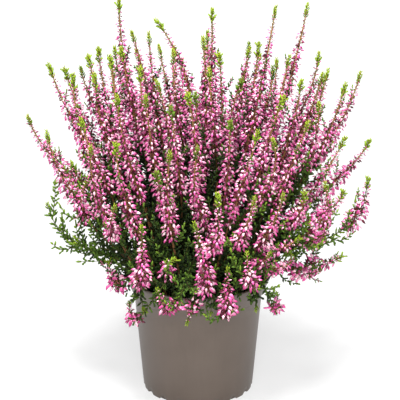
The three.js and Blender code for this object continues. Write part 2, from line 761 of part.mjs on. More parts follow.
function buildHeather() {
  const { stems, spikes } = planStems();
  const samples = samplesOf(spikes);
  const random = seededRandom(FLORET_SEED);
  const plant = new THREE.Group();
  plant.add(meshOf("pot", potSolid(), COLOUR.pot, 0.6));
  plant.add(meshOf("soil", soilSolid(spikes), COLOUR.soil, 0.95));
  for (const stem of stems) {
    const own = spikes.filter((spike) => spike.stem === stem.name);
    const solids = own.map((spike) => spikeSolid(spike, samples, random));
    const joined = wholeBody(solids.reduce((whole, solid) => whole.add(solid)));
    plant.add(meshOf(stem.name, joined, stem.flowers ? COLOUR.flowers : COLOUR.leaves, 0.7));
  }
  return plant;
}

export default buildHeather();
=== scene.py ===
"""The looks of a potted bud-flowering heather: fine buds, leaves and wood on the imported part's stems.

The stems' curves are planned here by the same rule as in the part's own source, in millimetres, and
the pieces are then built along them in metres. +Z is up, -Y is the front, and the pot stands on z = 0.
"""

import json
import math

import bpy
import numpy as np
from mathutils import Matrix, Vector

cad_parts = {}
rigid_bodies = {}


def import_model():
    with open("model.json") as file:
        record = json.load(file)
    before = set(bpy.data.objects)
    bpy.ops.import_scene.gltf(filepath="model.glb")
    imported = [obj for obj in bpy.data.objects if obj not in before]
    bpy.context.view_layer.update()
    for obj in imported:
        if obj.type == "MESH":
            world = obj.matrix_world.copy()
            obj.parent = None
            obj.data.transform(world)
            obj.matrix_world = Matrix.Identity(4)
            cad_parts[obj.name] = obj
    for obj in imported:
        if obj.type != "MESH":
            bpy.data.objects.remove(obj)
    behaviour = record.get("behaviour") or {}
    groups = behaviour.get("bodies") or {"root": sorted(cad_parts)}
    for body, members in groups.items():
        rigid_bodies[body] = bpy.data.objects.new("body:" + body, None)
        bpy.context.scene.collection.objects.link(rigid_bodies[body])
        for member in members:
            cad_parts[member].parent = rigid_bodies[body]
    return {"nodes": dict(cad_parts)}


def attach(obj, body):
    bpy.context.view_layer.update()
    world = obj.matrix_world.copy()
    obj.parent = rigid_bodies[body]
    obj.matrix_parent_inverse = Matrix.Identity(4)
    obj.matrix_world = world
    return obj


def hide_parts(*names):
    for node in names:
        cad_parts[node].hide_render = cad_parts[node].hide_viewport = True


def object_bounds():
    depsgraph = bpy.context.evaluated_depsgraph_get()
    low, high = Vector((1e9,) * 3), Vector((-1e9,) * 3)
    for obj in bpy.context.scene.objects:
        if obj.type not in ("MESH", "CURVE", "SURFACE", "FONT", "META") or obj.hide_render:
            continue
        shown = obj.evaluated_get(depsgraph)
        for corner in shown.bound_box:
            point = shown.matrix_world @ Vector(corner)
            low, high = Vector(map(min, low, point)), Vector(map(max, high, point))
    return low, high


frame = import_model()
CAD_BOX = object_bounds()

MM = 0.001

# ---- Sizes of the part, in millimetres ----

POT = {
    "height": 108, "foot_radius": 48.2, "body_top_radius": 56, "rim_radius": 64.7, "wall": 1.8,
    "collar_height": 18.5, "collar_step": 0.9, "floor": 4.5,
}
COLLAR_FOOT = POT["height"] - POT["collar_height"]
NOTCH = {"count": 18, "width": 5.6, "height": 3.2, "depth": 2.4}
SOIL = {"edge_height": 84, "crown": 3.5, "lumps": 1.1}
SOIL_TOP = SOIL["edge_height"] + SOIL["crown"] + SOIL["lumps"]
FOOT = {"depth": 14, "spread": 0.27, "widest": 41}

TIP_LENGTH, TIP_PEAK = 12, 3.8
BUDS_LENGTH, BUDS_PEAK = 26, 5.6
FLOWERS_PEAK, FLOWER_TAPER = 10, 0.86
LEAVES_PEAK, WOOD_CORE = 6, 1.5
APEX_LENGTH, APEX_PEAK = 5, 1.6
BUD_SHARE = 0.3
LOW = {"from": 160, "to": 260, "shorter": 0.55, "wider": 0.25}  # how richer the low spikes flower
BARE_LENGTH = 15

CURVE = {"arm": 0.36, "foot_slant": 9, "tip_slant": 0.6, "fork_tip_slant": 0.55}
FORK_SPREAD, FORK_CLEAR = 0.4, 6
SETTLE = {"rounds": 140, "step": 6, "gap": 1.5, "pull": 0.4, "tip_hold": 0.12, "hug": 6}
EASE = {"free": (0.25, 1, 1, 0.3), "bent": (0.1, 0.6, 0.6, 0.25)}
ROOM = {"least": 0.8, "near": 24, "wall": 1, "soil": 0.8, "bend": 0.8, "apart": 2.6}
BACK_SEED = 11

# Flowering stems: (tip, length of the run of flowers, forks), on some with the slants at foot and tip.
# Each fork is (tip, length of its run of flowers, share of the stem where it leaves), on some with the
# outer handle of its curve.
FLOWERING_STEMS = [
    ((-145, 0, 250), 90, [((-127, -30, 246), 72, 0.3), ((-108, -12, 212), 30, 0.4)]),
    ((-127, 10, 293), 105, [((-115, 28, 284), 85, 0.35)]),
    ((-104, -20, 293), 108, [((-97, -50, 264), 75, 0.3)]),
    ((-93, 2, 303), 110, [((-87, -12, 291), 85, 0.4)]),
    ((-86, 38, 299), 98),
    ((-73, -17, 308), 110),
    ((-66, 5, 351), 150, [((-64, -28, 318), 100, 0.4)], (5, 3)),
    ((-57, 26, 317), 112),
    ((-41, -8, 325), 120, [((-48, -34, 303), 85, 0.45)]),
    ((-36, 12, 331), 128, [((-21, -4, 309), 95, 0.45)], (2, 38)),
    ((-35, -34, 292), 95, [((-22, -85, 286), 95, 0.25)]),
    ((-43, -70, 290), 105, [((-34, -98, 234), 66, 0.35)]),
    ((-66, -66, 289), 105),
    ((-9, -57, 288), 105, [((-2, -32, 280), 85, 0.35)]),
    ((4, 0, 319), 122),
    ((12, 26, 337), 130),
    ((17, -40, 317), 112, [((9, -50, 307), 80, 0.5)]),
    ((44, 10, 307), 112, [((37, -14, 287), 80, 0.45)]),
    ((65, 0, 346), 150, [((64, 34, 283), 60, 0.45)], (4, 17)),
    ((76, -27, 311), 112),
    ((92, 6, 346), 150, [((103, 20, 300), 90, 0.4)], (6, 13)),
    ((84, -68, 302), 105, [((70, -76, 291), 90, 0.35), ((87, -92, 215), 54, 0.25)]),
    ((104, -28, 296), 95, [((99, -58, 280), 70, 0.4)]),
    ((138, 8, 286), 100, [((124, -14, 283), 85, 0.4)]),
    ((123, -38, 243), 90, [((122, -56, 202), 52, 0.4), ((108, -60, 180), 42, 0.25)]),
    ((147, 0, 228), 85, [], (8, 18)),
    ((90, -84, 272), 90, [((104, -80, 218), 52, 0.35)]),
    ((48, -104, 271), 100, [((60, -98, 262), 80, 0.5), ((46, -112, 217), 60, 0.3)]),
    ((26, -92, 275), 115, [((0, -106, 258), 104, 0.35), ((16, -114, 221), 84, 0.3, (38, -122, 136))]),
    ((-22, -112, 256), 92, [((-3, -114, 196), 72, 0.2, (2, -118, 92)), ((-18, -98, 157), 24, 0.2)]),
    ((-66, -98, 259), 98, [((-46, -100, 188), 74, 0.2, (2, -104, 98))]),
    ((-88, -78, 250), 88, [((-67, -92, 203), 56, 0.42), ((-89, -62, 214), 50, 0.3)]),
    ((69, -107, 218), 66, [
        ((85, -76, 168), 40, 0.42), ((40, -108, 168), 34, 0.2),
        ((59, -100, 164), 34, 0.45), ((78, -64, 148), 34, 0.3),
    ]),
]

# The stems of the far side, in a fan from one azimuth to the other, by turns further out and further in.
BACK_FAN = {
    "stems": 8, "from": 22, "to": 158, "high": 318, "fall": 0.00265, "flowers": 98, "jitter": 14,
    "fork_flowers": 24, "fork_at": 0.35,
    "outer": (128, -14, -0.17, -6),  # reach, jitter, the fork's turn and how much further it reaches
    "inner": (62, 14, 0.34, 26),
    "low": (108, 208, 58, 0.25, 0.12),  # reach, height, run of flowers, where it leaves and its turn
}

# Trailing sprigs: (tip, length of the run of flowers, the curve's two inner handles).
TRAILING_SPRIGS = [
    ((-77, -33, 130), 36, ((-30, -35, 205), (-46, -78, 62))),
    ((-56, -48, 100), 30, ((-14, -47, 190), (-40, -84, 66))),
    ((-34, -87, 127), 34, ((-4, -48, 212), (-6, -106, 50))),
    ((-7, -84, 94), 20, ((1, -34, 120), (4, -66, 156))),
    ((24, -98, 150), 50, ((30, -28, 200), (34, -112, 30))),
    ((66, -46, 106), 30, ((30, -26, 212), (42, -88, 60))),
    ((105, -30, 121), 30, ((4, -27, 154), (75, -50, 100))),
    ((125, -12, 126), 34, ((12, -22, 146), (92, -38, 101))),
    ((145, -12, 198), 54, ((-10, -20, 158), (141, -18, 79))),
    ((-130, -5, 172), 0, ((-2, -8, 142), (-112, -9, 76))),
    ((-36, 88, 120), 30, ((-16, 43, 150), (-18, 56, 106))),
]

# Shoots with leaves only: (tip, the curve's two inner handles).
LEAFY_SHOOTS = [
    ((-106, -18, 146), ((-38, -10, 146), (-84, -18, 116))),
    ((-46, -60, 92), ((-26, -30, 160), (-46, -64, 122))),
    ((7, -73, 96), ((6, -36, 158), (12, -76, 124))),
    ((50, -60, 94), ((26, -28, 160), (48, -64, 124))),
    ((-28, -72, 176), ((-12, -24, 110), (-26, -62, 138))),
    ((56, 58, 96), ((26, 28, 162), (52, 60, 128))),
]


# ---- Numbers and vectors ----

UP = np.array([0.0, 0.0, 1.0])


def blend(low, high, share):
    return low + (high - low) * np.clip(share, 0, 1)


def smooth(share):
    share = np.clip(share, 0, 1)
    return share * share * (3 - 2 * share)


def unit(a):
    a = np.asarray(a, float)
    size = np.linalg.norm(a, axis=-1, keepdims=True)
    return a / np.where(size > 0, size, 1)


def square_to(forward, side):
    """What is left of sides when they are made square to the ways forward."""
    return unit(side - forward * (side * forward).sum(-1, keepdims=True))


def around(side, third, angle):
    return side * np.cos(angle)[..., None] + third * np.sin(angle)[..., None]


def seeded(seed):
    state = seed
    while True:
        state = (state * 1664525 + 1013904223) & 0xFFFFFFFF
        yield state / 4294967296


# ---- The plan of the stems, as in the part's source ----

PIECES = 60  # straight pieces that a curve is measured in


def bernstein(t):
    t = np.asarray(t, float)
    return np.stack([(1 - t) ** 3, 3 * t * (1 - t) ** 2, 3 * t * t * (1 - t), t**3], axis=-1)


FINE_WEIGHTS = bernstein(np.linspace(0, 1, PIECES + 1))


def walk(handles, step):
    """Curve parameters, distances from the start and points a fixed step apart, and the whole length."""
    fine = FINE_WEIGHTS @ handles
    reached = np.concatenate([[0], np.cumsum(np.linalg.norm(np.diff(fine, axis=0), axis=1))])
    whole = reached[-1]
    count = max(2, math.ceil(whole / step))
    distance = whole * np.arange(count + 1) / count
    at = np.clip(np.searchsorted(reached, distance), 1, PIECES)
    share = (distance - reached[at - 1]) / (reached[at] - reached[at - 1])
    point = fine[at - 1] + (fine[at] - fine[at - 1]) * share[:, None]
    return (at - 1 + share) / PIECES, distance, point, whole


def curve_between(start, end, slants):
    start, end = np.array(start, float), np.array(end, float)
    chord = end - start
    across = unit([chord[0], chord[1], 0])
    arm = CURVE["arm"] * np.linalg.norm(chord)
    arms = [(across * math.sin(a) + UP * math.cos(a)) * arm for a in slants]
    return np.array([start, start + arms[0], end - arms[1], end])


def slant_of(start, end):
    return math.atan2(math.hypot(end[0] - start[0], end[1] - start[1]), end[2] - start[2])


def foot_of(tip):
    reach = math.hypot(tip[0], tip[1])
    radius = min(FOOT["widest"], 5 + FOOT["spread"] * reach)
    return np.array([tip[0] / reach * radius, tip[1] / reach * radius, SOIL["edge_height"] - FOOT["depth"]])


def stem_curve(tip, slants, bend):
    start = foot_of(tip)
    if bend:
        return np.array([start, *bend, tip], float)
    if slants:
        return curve_between(start, tip, [math.radians(a) for a in slants])
    usual = [math.radians(CURVE["foot_slant"]), CURVE["tip_slant"] * slant_of(start, tip)]
    return curve_between(start, tip, usual)


def fork_curve(parent, tip, share, bend=None):
    t, _, point, _ = walk(parent, 4)
    at = math.floor(share * (len(t) - 1) + 0.5)
    start = point[at]
    forward = unit(bernstein(min(1, t[at] + 0.03)) @ parent - start)
    arm = CURVE["arm"] * np.linalg.norm(np.array(tip) - start)
    usual = curve_between(start, tip, [0, CURVE["fork_tip_slant"] * slant_of(start, tip)])
    return np.array([start, start + forward * arm, usual[2] if bend is None else bend, tip], float)


def growth_of(spike):
    """How long a spike's green tip and its run of young buds are, and how wide it flowers."""
    low = blend(1, 0, (spike["tip"][2] - LOW["from"]) / (LOW["to"] - LOW["from"]))
    young = 1 - LOW["shorter"] * low
    bud_length = min(BUDS_LENGTH * young, BUD_SHARE * spike["flowers"])
    return TIP_LENGTH * young, bud_length, 1 + LOW["wider"] * low


def natural_peak(spike, from_tip, whole):
    """Radius of the florets or leaves at distances from the tip, with room to spare."""
    run = spike["flowers"]
    tip, bud, width = growth_of(spike)
    below = from_tip - tip
    share = (below - bud) / max(run - tip - bud, 1e-6)
    flowers = width * blend(BUDS_PEAK, FLOWERS_PEAK, 1.9 * share) * blend(1, FLOWER_TAPER, share)
    apex = blend(APEX_PEAK, TIP_PEAK, from_tip / APEX_LENGTH)
    buds = blend(TIP_PEAK, width * BUDS_PEAK, below / max(bud, 1e-6))
    parts = [whole - from_tip < spike["bare"], from_tip < tip, from_tip >= run, below < bud]
    return np.select(parts, [WOOD_CORE, apex, LEAVES_PEAK, buds], flowers)


POT_WALL = [
    (POT["foot_radius"], 0), (POT["body_top_radius"], COLLAR_FOOT), (POT["rim_radius"], POT["height"]),
]


def off_wall(points):
    """How far points are from the pot's wall, and the way out of it."""
    radius = np.hypot(points[:, 0], points[:, 1])
    best = np.full(len(points), np.inf)
    out = np.zeros((len(points), 2))
    for (r0, z0), (r1, z1) in zip(POT_WALL, POT_WALL[1:]):
        along = (radius - r0) * (r1 - r0) + (points[:, 2] - z0) * (z1 - z0)
        k = np.clip(along / ((r1 - r0) ** 2 + (z1 - z0) ** 2), 0, 1)
        here = np.stack([radius - r0 - (r1 - r0) * k, points[:, 2] - z0 - (z1 - z0) * k], axis=1)
        distance = np.linalg.norm(here, axis=1)
        closer = distance < best
        best[closer], out[closer] = distance[closer], here[closer]
    sideways = out[:, 0] / (best * radius)
    return best, np.stack([points[:, 0] * sideways, points[:, 1] * sideways, out[:, 1] / best], axis=1)


def spread_of(spike, distance):
    """How far a fork should be off its stem, at distances from where it leaves; endless for the stem."""
    return FORK_SPREAD * distance if spike["parent"] is not None else np.full_like(distance, np.inf)


def samples_of(spikes):
    """Samples along all the spikes, a fixed step apart."""
    rows = []
    for number, spike in enumerate(spikes):
        t, distance, point, whole = walk(spike["handles"], SETTLE["step"])
        row = {"t": t, "distance": distance, "point": point, "spread": spread_of(spike, distance)}
        row["radius"] = natural_peak(spike, whole - distance, whole)
        row["spike"], row["stem"] = np.full(len(t), number), np.full(len(t), spike["stem"])
        rows.append(row)
    return {key: np.concatenate([row[key] for row in rows]) for key in rows[0]}


def close_pairs(samples):
    """Pairs of samples of different spikes that lie nearer than they should, with how much they lack."""
    order = np.argsort(samples["point"][:, 0], kind="stable")
    x = samples["point"][order, 0]
    limit = 2 * samples["radius"].max() + SETTLE["gap"]
    counts = np.searchsorted(x, x + limit, side="right") - np.arange(len(x)) - 1
    first = np.repeat(np.arange(len(x)), counts)
    second = np.arange(counts.sum()) - np.repeat(np.cumsum(counts) - counts, counts) + first + 1
    a, b = order[first], order[second]
    point = samples["point"]
    near = (np.abs(point[a, 1] - point[b, 1]) < limit) & (np.abs(point[a, 2] - point[b, 2]) < limit)
    near &= samples["spike"][a] != samples["spike"][b]
    a, b = a[near], b[near]
    wanted = samples["radius"][a] + samples["radius"][b] + SETTLE["gap"]
    kin = samples["stem"][a] == samples["stem"][b]
    parting = np.minimum(samples["spread"][a], samples["spread"][b])
    wanted = np.where(kin, np.minimum(wanted, parting), wanted)
    away = point[a] - point[b]
    distance = np.linalg.norm(away, axis=1)
    close = distance < wanted
    sideways = unit(away[close] * (1, 1, 0.4))
    return a[close], b[close], sideways * ((wanted - distance)[close] / 2)[:, None]


def settle(spikes):
    """Moves the handles of the spikes in rounds until they stand clear of each other and the pot."""
    ease = np.array([spike["ease"] for spike in spikes])
    for _ in range(SETTLE["rounds"]):
        samples = samples_of(spikes)
        a, b, move = close_pairs(samples)
        point = samples["point"]
        distance, way = off_wall(point)
        lack = np.minimum(samples["radius"], SETTLE["hug"]) + POT["wall"] + SETTLE["gap"] - distance
        c = np.flatnonzero((lack > 0) & (point[:, 2] > SOIL["edge_height"]))
        who = np.concatenate([a, b, c])
        moves = np.concatenate([move, -move, way[c] * lack[c][:, None]])
        spike_of = samples["spike"][who]
        basis = bernstein(samples["t"][who])
        weights = basis * ease[spike_of]
        pull = SETTLE["pull"] / np.maximum((basis * weights).sum(1), 0.15)
        shift = np.zeros((len(spikes), 4, 3))
        pushes = np.ones((len(spikes), 4))
        np.add.at(shift, spike_of, weights[:, :, None] * (moves * pull[:, None])[:, None, :])
        np.add.at(pushes, spike_of, weights)
        for number, spike in enumerate(spikes):
            handles = spike["handles"] + shift[number] / pushes[number][:, None]
            handles[3] += (np.array(spike["tip"]) - handles[3]) * SETTLE["tip_hold"]
            if spike["parent"] is None:
                handles[0, 2] = SOIL["edge_height"] - FOOT["depth"]
            else:
                handles[0] = fork_curve(spikes[spike["parent"]]["handles"], spike["tip"], spike["fork_at"])[0]
            spike["handles"] = handles


def back_stems():
    """The flowering stems of the far side, in a fan with seeded draws."""
    random = seeded(BACK_SEED)
    fan = BACK_FAN

    def ring_point(azimuth, reach, height):
        return (reach * math.cos(azimuth), reach * math.sin(azimuth), height)

    def tip_at(azimuth, reach):
        height = fan["high"] - fan["fall"] * reach**2 - fan["jitter"] * next(random)
        return ring_point(azimuth, reach, height)

    stems = []
    for i in range(fan["stems"]):
        far, jitter, fork_turn, fork_reach = fan["inner"] if i % 2 else fan["outer"]
        share = (i + 0.2 + 0.6 * next(random)) / fan["stems"]
        azimuth = math.radians(fan["from"] + (fan["to"] - fan["from"]) * share)
        reach = far + jitter * next(random)
        flowers = fan["flowers"] - fan["jitter"] * next(random)
        fork_tip = tip_at(azimuth + fork_turn, reach + fork_reach)
        low_reach, low_height, low_flowers, low_at, low_turn = fan["low"]
        low_tip = ring_point(azimuth + low_turn, low_reach, low_height - fan["jitter"] * next(random))
        fork = (fork_tip, flowers - fan["fork_flowers"], fan["fork_at"])
        stems.append((tip_at(azimuth, reach), flowers, [fork, (low_tip, low_flowers, low_at)]))
    return stems


def add_stem(spikes, number, tip, flowers, forks=(), slants=None, bend=None):
    """Adds a stem's own spike to the plan, and those of its forks."""
    at = len(spikes)
    parent = {"stem": number, "tip": tip, "flowers": flowers, "parent": None}
    parent["handles"] = stem_curve(tip, slants, bend)
    parent["ease"] = EASE["bent" if bend else "free"]
    parent["bare"] = FOOT["depth"] + BARE_LENGTH * (0.4 if bend else 1)
    spikes.append(parent)
    for fork_tip, fork_flowers, share, *handle in forks:
        fork = {**parent, "tip": fork_tip, "flowers": fork_flowers, "parent": at, "fork_at": share}
        fork["handles"] = fork_curve(parent["handles"], fork_tip, share, *handle)
        fork["bare"] = BARE_LENGTH
        if handle:
            fork["ease"] = EASE["bent"]
        spikes.append(fork)


def plan_spikes():
    """Every spike of the plant with its settled curve, and the names of the stems they belong to."""
    kinds = {
        "flowering_stem": FLOWERING_STEMS + back_stems(),
        "trailing_sprig": [(tip, flowers, (), None, bend) for tip, flowers, bend in TRAILING_SPRIGS],
        "leafy_shoot": [(tip, 0, (), None, bend) for tip, bend in LEAFY_SHOOTS],
    }
    names, spikes = [], []
    for kind, stems in kinds.items():
        for i, stem in enumerate(stems):
            add_stem(spikes, len(names), *stem)
            names.append(f"{kind}_{i + 1:02d}")
    settle(spikes)
    return names, spikes


def circle_radius(point):
    """The radius of the circle through each point and its two neighbours, endless where it is straight."""
    before, here, after = point[:-2], point[1:-1], point[2:]
    sides = [np.linalg.norm(b - a, axis=1) for a, b in ((before, here), (here, after), (after, before))]
    area = np.linalg.norm(np.cross(here - before, after - before), axis=1)
    with np.errstate(divide="ignore"):
        radius = sides[0] * sides[1] * sides[2] / (2 * area)
    return np.concatenate([[np.inf], radius, [np.inf]])


def room_along(spikes, samples, number, point, from_tip, whole):
    """The radius that stays clear of the other spikes, the pot and the peat along one spike."""
    spike = spikes[number]
    natural = natural_peak(spike, from_tip, whole)
    from_start = (whole - from_tip)[:, None]
    away = point[:, None] - samples["point"]
    distance = np.linalg.norm(away, axis=2)
    distance[np.abs(away).max(2) > ROOM["near"]] = np.inf
    own = samples["spike"] == number
    kin = (samples["stem"] == spike["stem"]) & ~own
    joined = kin & (np.minimum(samples["spread"], spread_of(spike, from_start)) < FORK_CLEAR)
    beside = own & (np.abs(samples["distance"] - from_start) <= ROOM["apart"] * natural[:, None])
    distance[joined | beside] = np.inf
    share = natural[:, None] / (natural[:, None] + samples["radius"])
    room = np.minimum(natural, ((distance - SETTLE["gap"]) * share).min(1))
    room = np.minimum(room, ROOM["bend"] * circle_radius(point))
    over = (np.hypot(point[:, 0], point[:, 1]) < POT["body_top_radius"]) & (point[:, 2] > SOIL["edge_height"])
    soil = np.where(over, np.maximum(point[:, 2] - SOIL_TOP - ROOM["soil"], WOOD_CORE), np.inf)
    wall = off_wall(point)[0] - POT["wall"] - ROOM["wall"]
    return np.maximum(ROOM["least"], np.minimum(np.minimum(room, wall), soil))


# ---- Gathering triangles for a piece ----

BUD, LEAF, WOOD = 0, 1, 2
# Each kind of surface has a band of the UV map, cut into rows: (low edge, high edge, rows). A bud or leaf
# lies in one row, with u along it from root to end, and the row gives it its colour.
BANDS = {BUD: (0.0, 0.48, 24), LEAF: (0.5, 0.9, 20), WOOD: (0.92, 1.0, 4)}


def band_place(kind, tone):
    """Where the rows for tones start in the UV map, and how high a row is; tones end at 0 and 1."""
    low, high, rows = BANDS[kind]
    height = (high - low) / rows
    row = np.clip((np.asarray(tone) * rows).astype(int), 0, rows - 1)
    return low + (row + 0.1) * height, 0.8 * height


def add_object(name, data):
    made = bpy.data.objects.new(name, data)
    bpy.context.scene.collection.objects.link(made)
    return made


def add_mesh(name, points, faces, uvs, materials, kinds):
    """A smooth mesh object from points in millimetres, faces of equally many corners and their UVs."""
    mesh = bpy.data.meshes.new(name)
    mesh.from_pydata((points * MM).tolist(), [], faces.tolist())
    mesh.polygons.foreach_set("material_index", kinds.astype(np.int32))
    mesh.polygons.foreach_set("use_smooth", np.ones(len(faces), bool))
    layer = mesh.uv_layers.new(name="OFBake")
    layer.data.foreach_set("uv", uvs.astype(np.float32).ravel())
    for material in materials:
        mesh.materials.append(material)
    mesh.update()
    mesh.validate()
    return add_object(name, mesh)


class Surface:
    """Triangles of one piece, each with its place in the UV map and its kind of surface."""

    def __init__(self):
        self.rows, self.size = [], 0

    def add(self, points, faces, uvs, kind):
        """Adds copies of a body, given the points of each, its faces and its corners' UVs."""
        copies, count = points.shape[:2]
        starts = self.size + count * np.arange(copies)
        faces = faces + starts[:, None, None]
        uvs = np.broadcast_to(uvs, (*faces.shape, 2))
        kinds = np.full(faces.shape[:2], kind)
        self.rows.append((points.reshape(-1, 3), faces.reshape(-1, 3), uvs.reshape(-1, 3, 2), kinds.ravel()))
        self.size += copies * count

    def scatter(self, template, root, direction, length, thick, kind, tone, beside, roll=0.0):
        """Adds copies of a template, each along its direction, with its own length, half width and tone.

        Each copy is turned so that one of its sides is square to "beside", and then by its roll.
        """
        local, faces, uv = template
        across = unit(np.cross(direction, beside))
        other = np.cross(direction, across)
        thick = np.broadcast_to(thick, len(root))[:, None]
        axes = [around(across, other, roll + turn) * thick for turn in (0, math.pi / 2)]
        axes.append(direction * length[:, None])
        points = root[:, None] + np.einsum("pk,kcd->cpd", local, np.stack(axes))
        low, height = band_place(kind, tone)
        uvs = np.repeat(uv[None], len(root), axis=0)
        uvs[..., 1] = np.broadcast_to(low, len(root))[:, None, None] + uvs[..., 1] * height
        self.add(points, faces, uvs, kind)

    def build(self, name, materials):
        points, faces, uvs, kinds = (np.concatenate(column) for column in zip(*self.rows))
        return add_mesh(name, points, faces, uvs, materials, kinds)


def turned_template(sides, rings, flat=1.0):
    """A spindle along z from 0 to 1: rings of [height, radius] between a point at each end."""
    points = [[0, 0, 0]]
    for height, radius in rings:
        for angle in 2 * math.pi * np.arange(sides) / sides:
            points.append([radius * math.cos(angle), flat * radius * math.sin(angle), height])
    points.append([0, 0, 1])
    heights = [0] + [height for height, _ in rings] + [1]

    def corner(ring, side):
        if ring == 0:
            return 0
        return len(points) - 1 if ring > len(rings) else 1 + (ring - 1) * sides + side % sides

    faces, uvs = [], []
    for ring in range(len(rings) + 1):
        for side in range(sides):
            quad = [(ring, side), (ring, side + 1), (ring + 1, side + 1), (ring + 1, side)]
            for picked in (quad[:3], [quad[0], *quad[2:]]):
                corners = [corner(*p) for p in picked]
                if len(set(corners)) == 3:
                    faces.append(corners)
                    uvs.append([[heights[r], s / sides] for r, s in picked])
    return np.array(points, float), np.array(faces), np.array(uvs, float)


def scaly_template(pairs):
    """A shoot along z from 0 to 1 with crossing pairs of pressed scale leaves, each a raised corner."""
    points, uvs = [[0, 0, 0]], [[0, 0.5]]
    for ring in range(pairs):
        for corner in range(4):
            raised = (corner + ring) % 2 == 0
            radius = (1.0 if raised else 0.62) * (1 - 0.3 * ring / pairs)
            height = (ring + (0.75 if raised else 0.3)) / pairs
            angle = math.pi * corner / 2
            points.append([radius * math.cos(angle), radius * math.sin(angle), height])
            uvs.append([height, 0.9 if raised else 0.2])
    points.append([0, 0, 1.06])
    uvs.append([1, 0.5])
    faces = []
    for corner in range(4):
        after = (corner + 1) % 4
        faces.append([0, 1 + after, 1 + corner])
        for ring in range(1, pairs):
            low, high = 1 + 4 * (ring - 1), 1 + 4 * ring
            a, b, c, d = low + corner, low + after, high + after, high + corner
            faces += [[a, b, d], [b, c, d]] if (corner + ring) % 2 == 0 else [[a, b, c], [a, c, d]]
        last = 1 + 4 * (pairs - 1)
        faces.append([last + corner, last + after, len(points) - 1])
    faces = np.array(faces)
    return np.array(points, float), faces, np.array(uvs, float)[faces]


FINE_BUD = turned_template(5, [(0.24, 0.9), (0.6, 0.72)])
PLAIN_BUD = turned_template(4, [(0.42, 1.0)])
LEAF_BLADE = turned_template(3, [(0.42, 1.0)], flat=0.6)
STALK = turned_template(3, [(0.5, 1.0)])
SCALY_SHOOT = scaly_template(3)
# Leaves, shoots and twig buds get their sides square to these nearly upright directions.
LEAF_BESIDE, SHOOT_BESIDE, TWIG_BUD_BESIDE = (0.13, 0.21, 1.0), (0.21, 0.13, 1.0), (0.3, 0.2, 1.0)


def transported(paths, side=None):
    """Directions along paths, with two sides for each point that turn as little as they can."""
    forward = unit(np.gradient(paths, axis=1))
    side = np.cross(forward[:, 0], SHOOT_BESIDE) if side is None else side
    sides = []
    for way in forward.swapaxes(0, 1):
        side = square_to(way, side)
        sides.append(side)
    side = np.stack(sides, axis=1)
    return forward, side, np.cross(forward, side)


def tubes(surface, paths, radii, tone, sides=5):
    """Closed wooden tubes along paths of equally many points, with u running from start to end."""
    copies, count = paths.shape[:2]
    _, side, third = transported(paths)
    turned = around(side[:, :, None], third[:, :, None], 2 * math.pi * np.arange(sides) / sides)
    rings = paths[:, :, None] + radii[:, :, None, None] * turned
    points = np.concatenate([rings.reshape(copies, -1, 3), paths[:, :1], paths[:, -1:]], axis=1)
    low, height = band_place(WOOD, tone)
    faces, uvs = [], []
    foot, top, last = count * sides, count * sides + 1, (count - 1) * sides
    for j in range(sides):
        k = (j + 1) % sides
        v0, v1 = low + height * j / sides, low + height * (j + 1) / sides
        for i in range(count - 1):
            u0, u1 = i / (count - 1), (i + 1) / (count - 1)
            a, b, c, d = i * sides + j, i * sides + k, (i + 1) * sides + k, (i + 1) * sides + j
            faces += [[a, b, c], [a, c, d]]
            uvs += [[[u0, v0], [u0, v1], [u1, v1]], [[u0, v0], [u1, v1], [u1, v0]]]
        faces += [[j, foot, k], [last + j, last + k, top]]
        uvs += [[[0, v0], [0, v0], [0, v1]], [[1, v0], [1, v1], [1, v1]]]
    surface.add(points, np.array(faces), np.array(uvs, float), WOOD)


# ---- The parts of a spike ----

# How the buds change from the young ones near the tip to the full ones below, each as (young, full):
# from one whorl to the next, buds in a whorl, length, droop in degrees, share that stands further in,
# middle of their tones and how widely these spread.
BUDS = {
    "pitch": (3.0, 2.2), "whorl": (2.4, 3.6), "length": (2.3, 4.3), "droop": (-8, 30),
    "inner": (0.05, 0.36), "tone": (0.3, 0.36), "spread": (0.34, 0.27),
}
BRACTS = {"pitch": 2.3, "whorl": 2.3, "width": 0.24}
# Tones of the tips from the apex down; the shaded ones are darker, painted shade for tips among the other
# spikes.
TIP = {"pitch": 1.1, "width": 0.22, "light": (0.97, 0.58), "shaded": (0.76, 0.36)}
SHADED_TIPS = {"from": 205, "to": 290, "reach": 108, "share": 0.7}  # tips down among the other spikes
SHOOTS = {"pitch": 4.4, "slant": (40, 66), "longest": 8}  # short shoots in pairs on a stem
LOW_SHOOTS = {"pitch": 3.4, "slant": (40, 66), "longest": 6}  # the same on the spikes that bend down
BARK_TONE, STALK_TONE, SPRAY_TONE = 0.1, 0.6, 0.8  # rows of the wood's band: stems, stalks, side branches
WOOD_RADII = {  # at the tip, 30 and 120 mm from it and at the foot of a spike
    "low": (0.32, 0.42, 0.62, 0.7), "stem": (0.42, 0.72, 1.0, 1.4), "fork": (0.42, 0.68, 0.85, 0.9),
}
LEAFY_SIZE = 1.1  # how much larger the shoots are on spikes with leaves only
# Side branches: from one to the next on a spike, length, whether the room round the spike is added to it,
# slant, how much they turn up and their number of points.
SPRAYS = {"spacing": 10, "length": (15, 33), "add_room": 0, "slant": (32, 60), "lift": 0.5, "points": 6}
TWIGS = {"spacing": 28, "length": (5, 11), "add_room": 1, "slant": (26, 44), "lift": 0.25, "points": 5}
TWIG_SIZE, TWIG_BUDS = 0.7, 8
SPRAY_PITCH, SPRAY_SLANT = 3.6, (35, 62)  # the pairs of shoots on a side branch
SPRAY_MARGIN, POT_MARGIN = 7.0, 4  # what side branches leave free inside the part's box and off the pot
SPIKE_SEED, LOW_BRANCH_SEED = 1000, 7
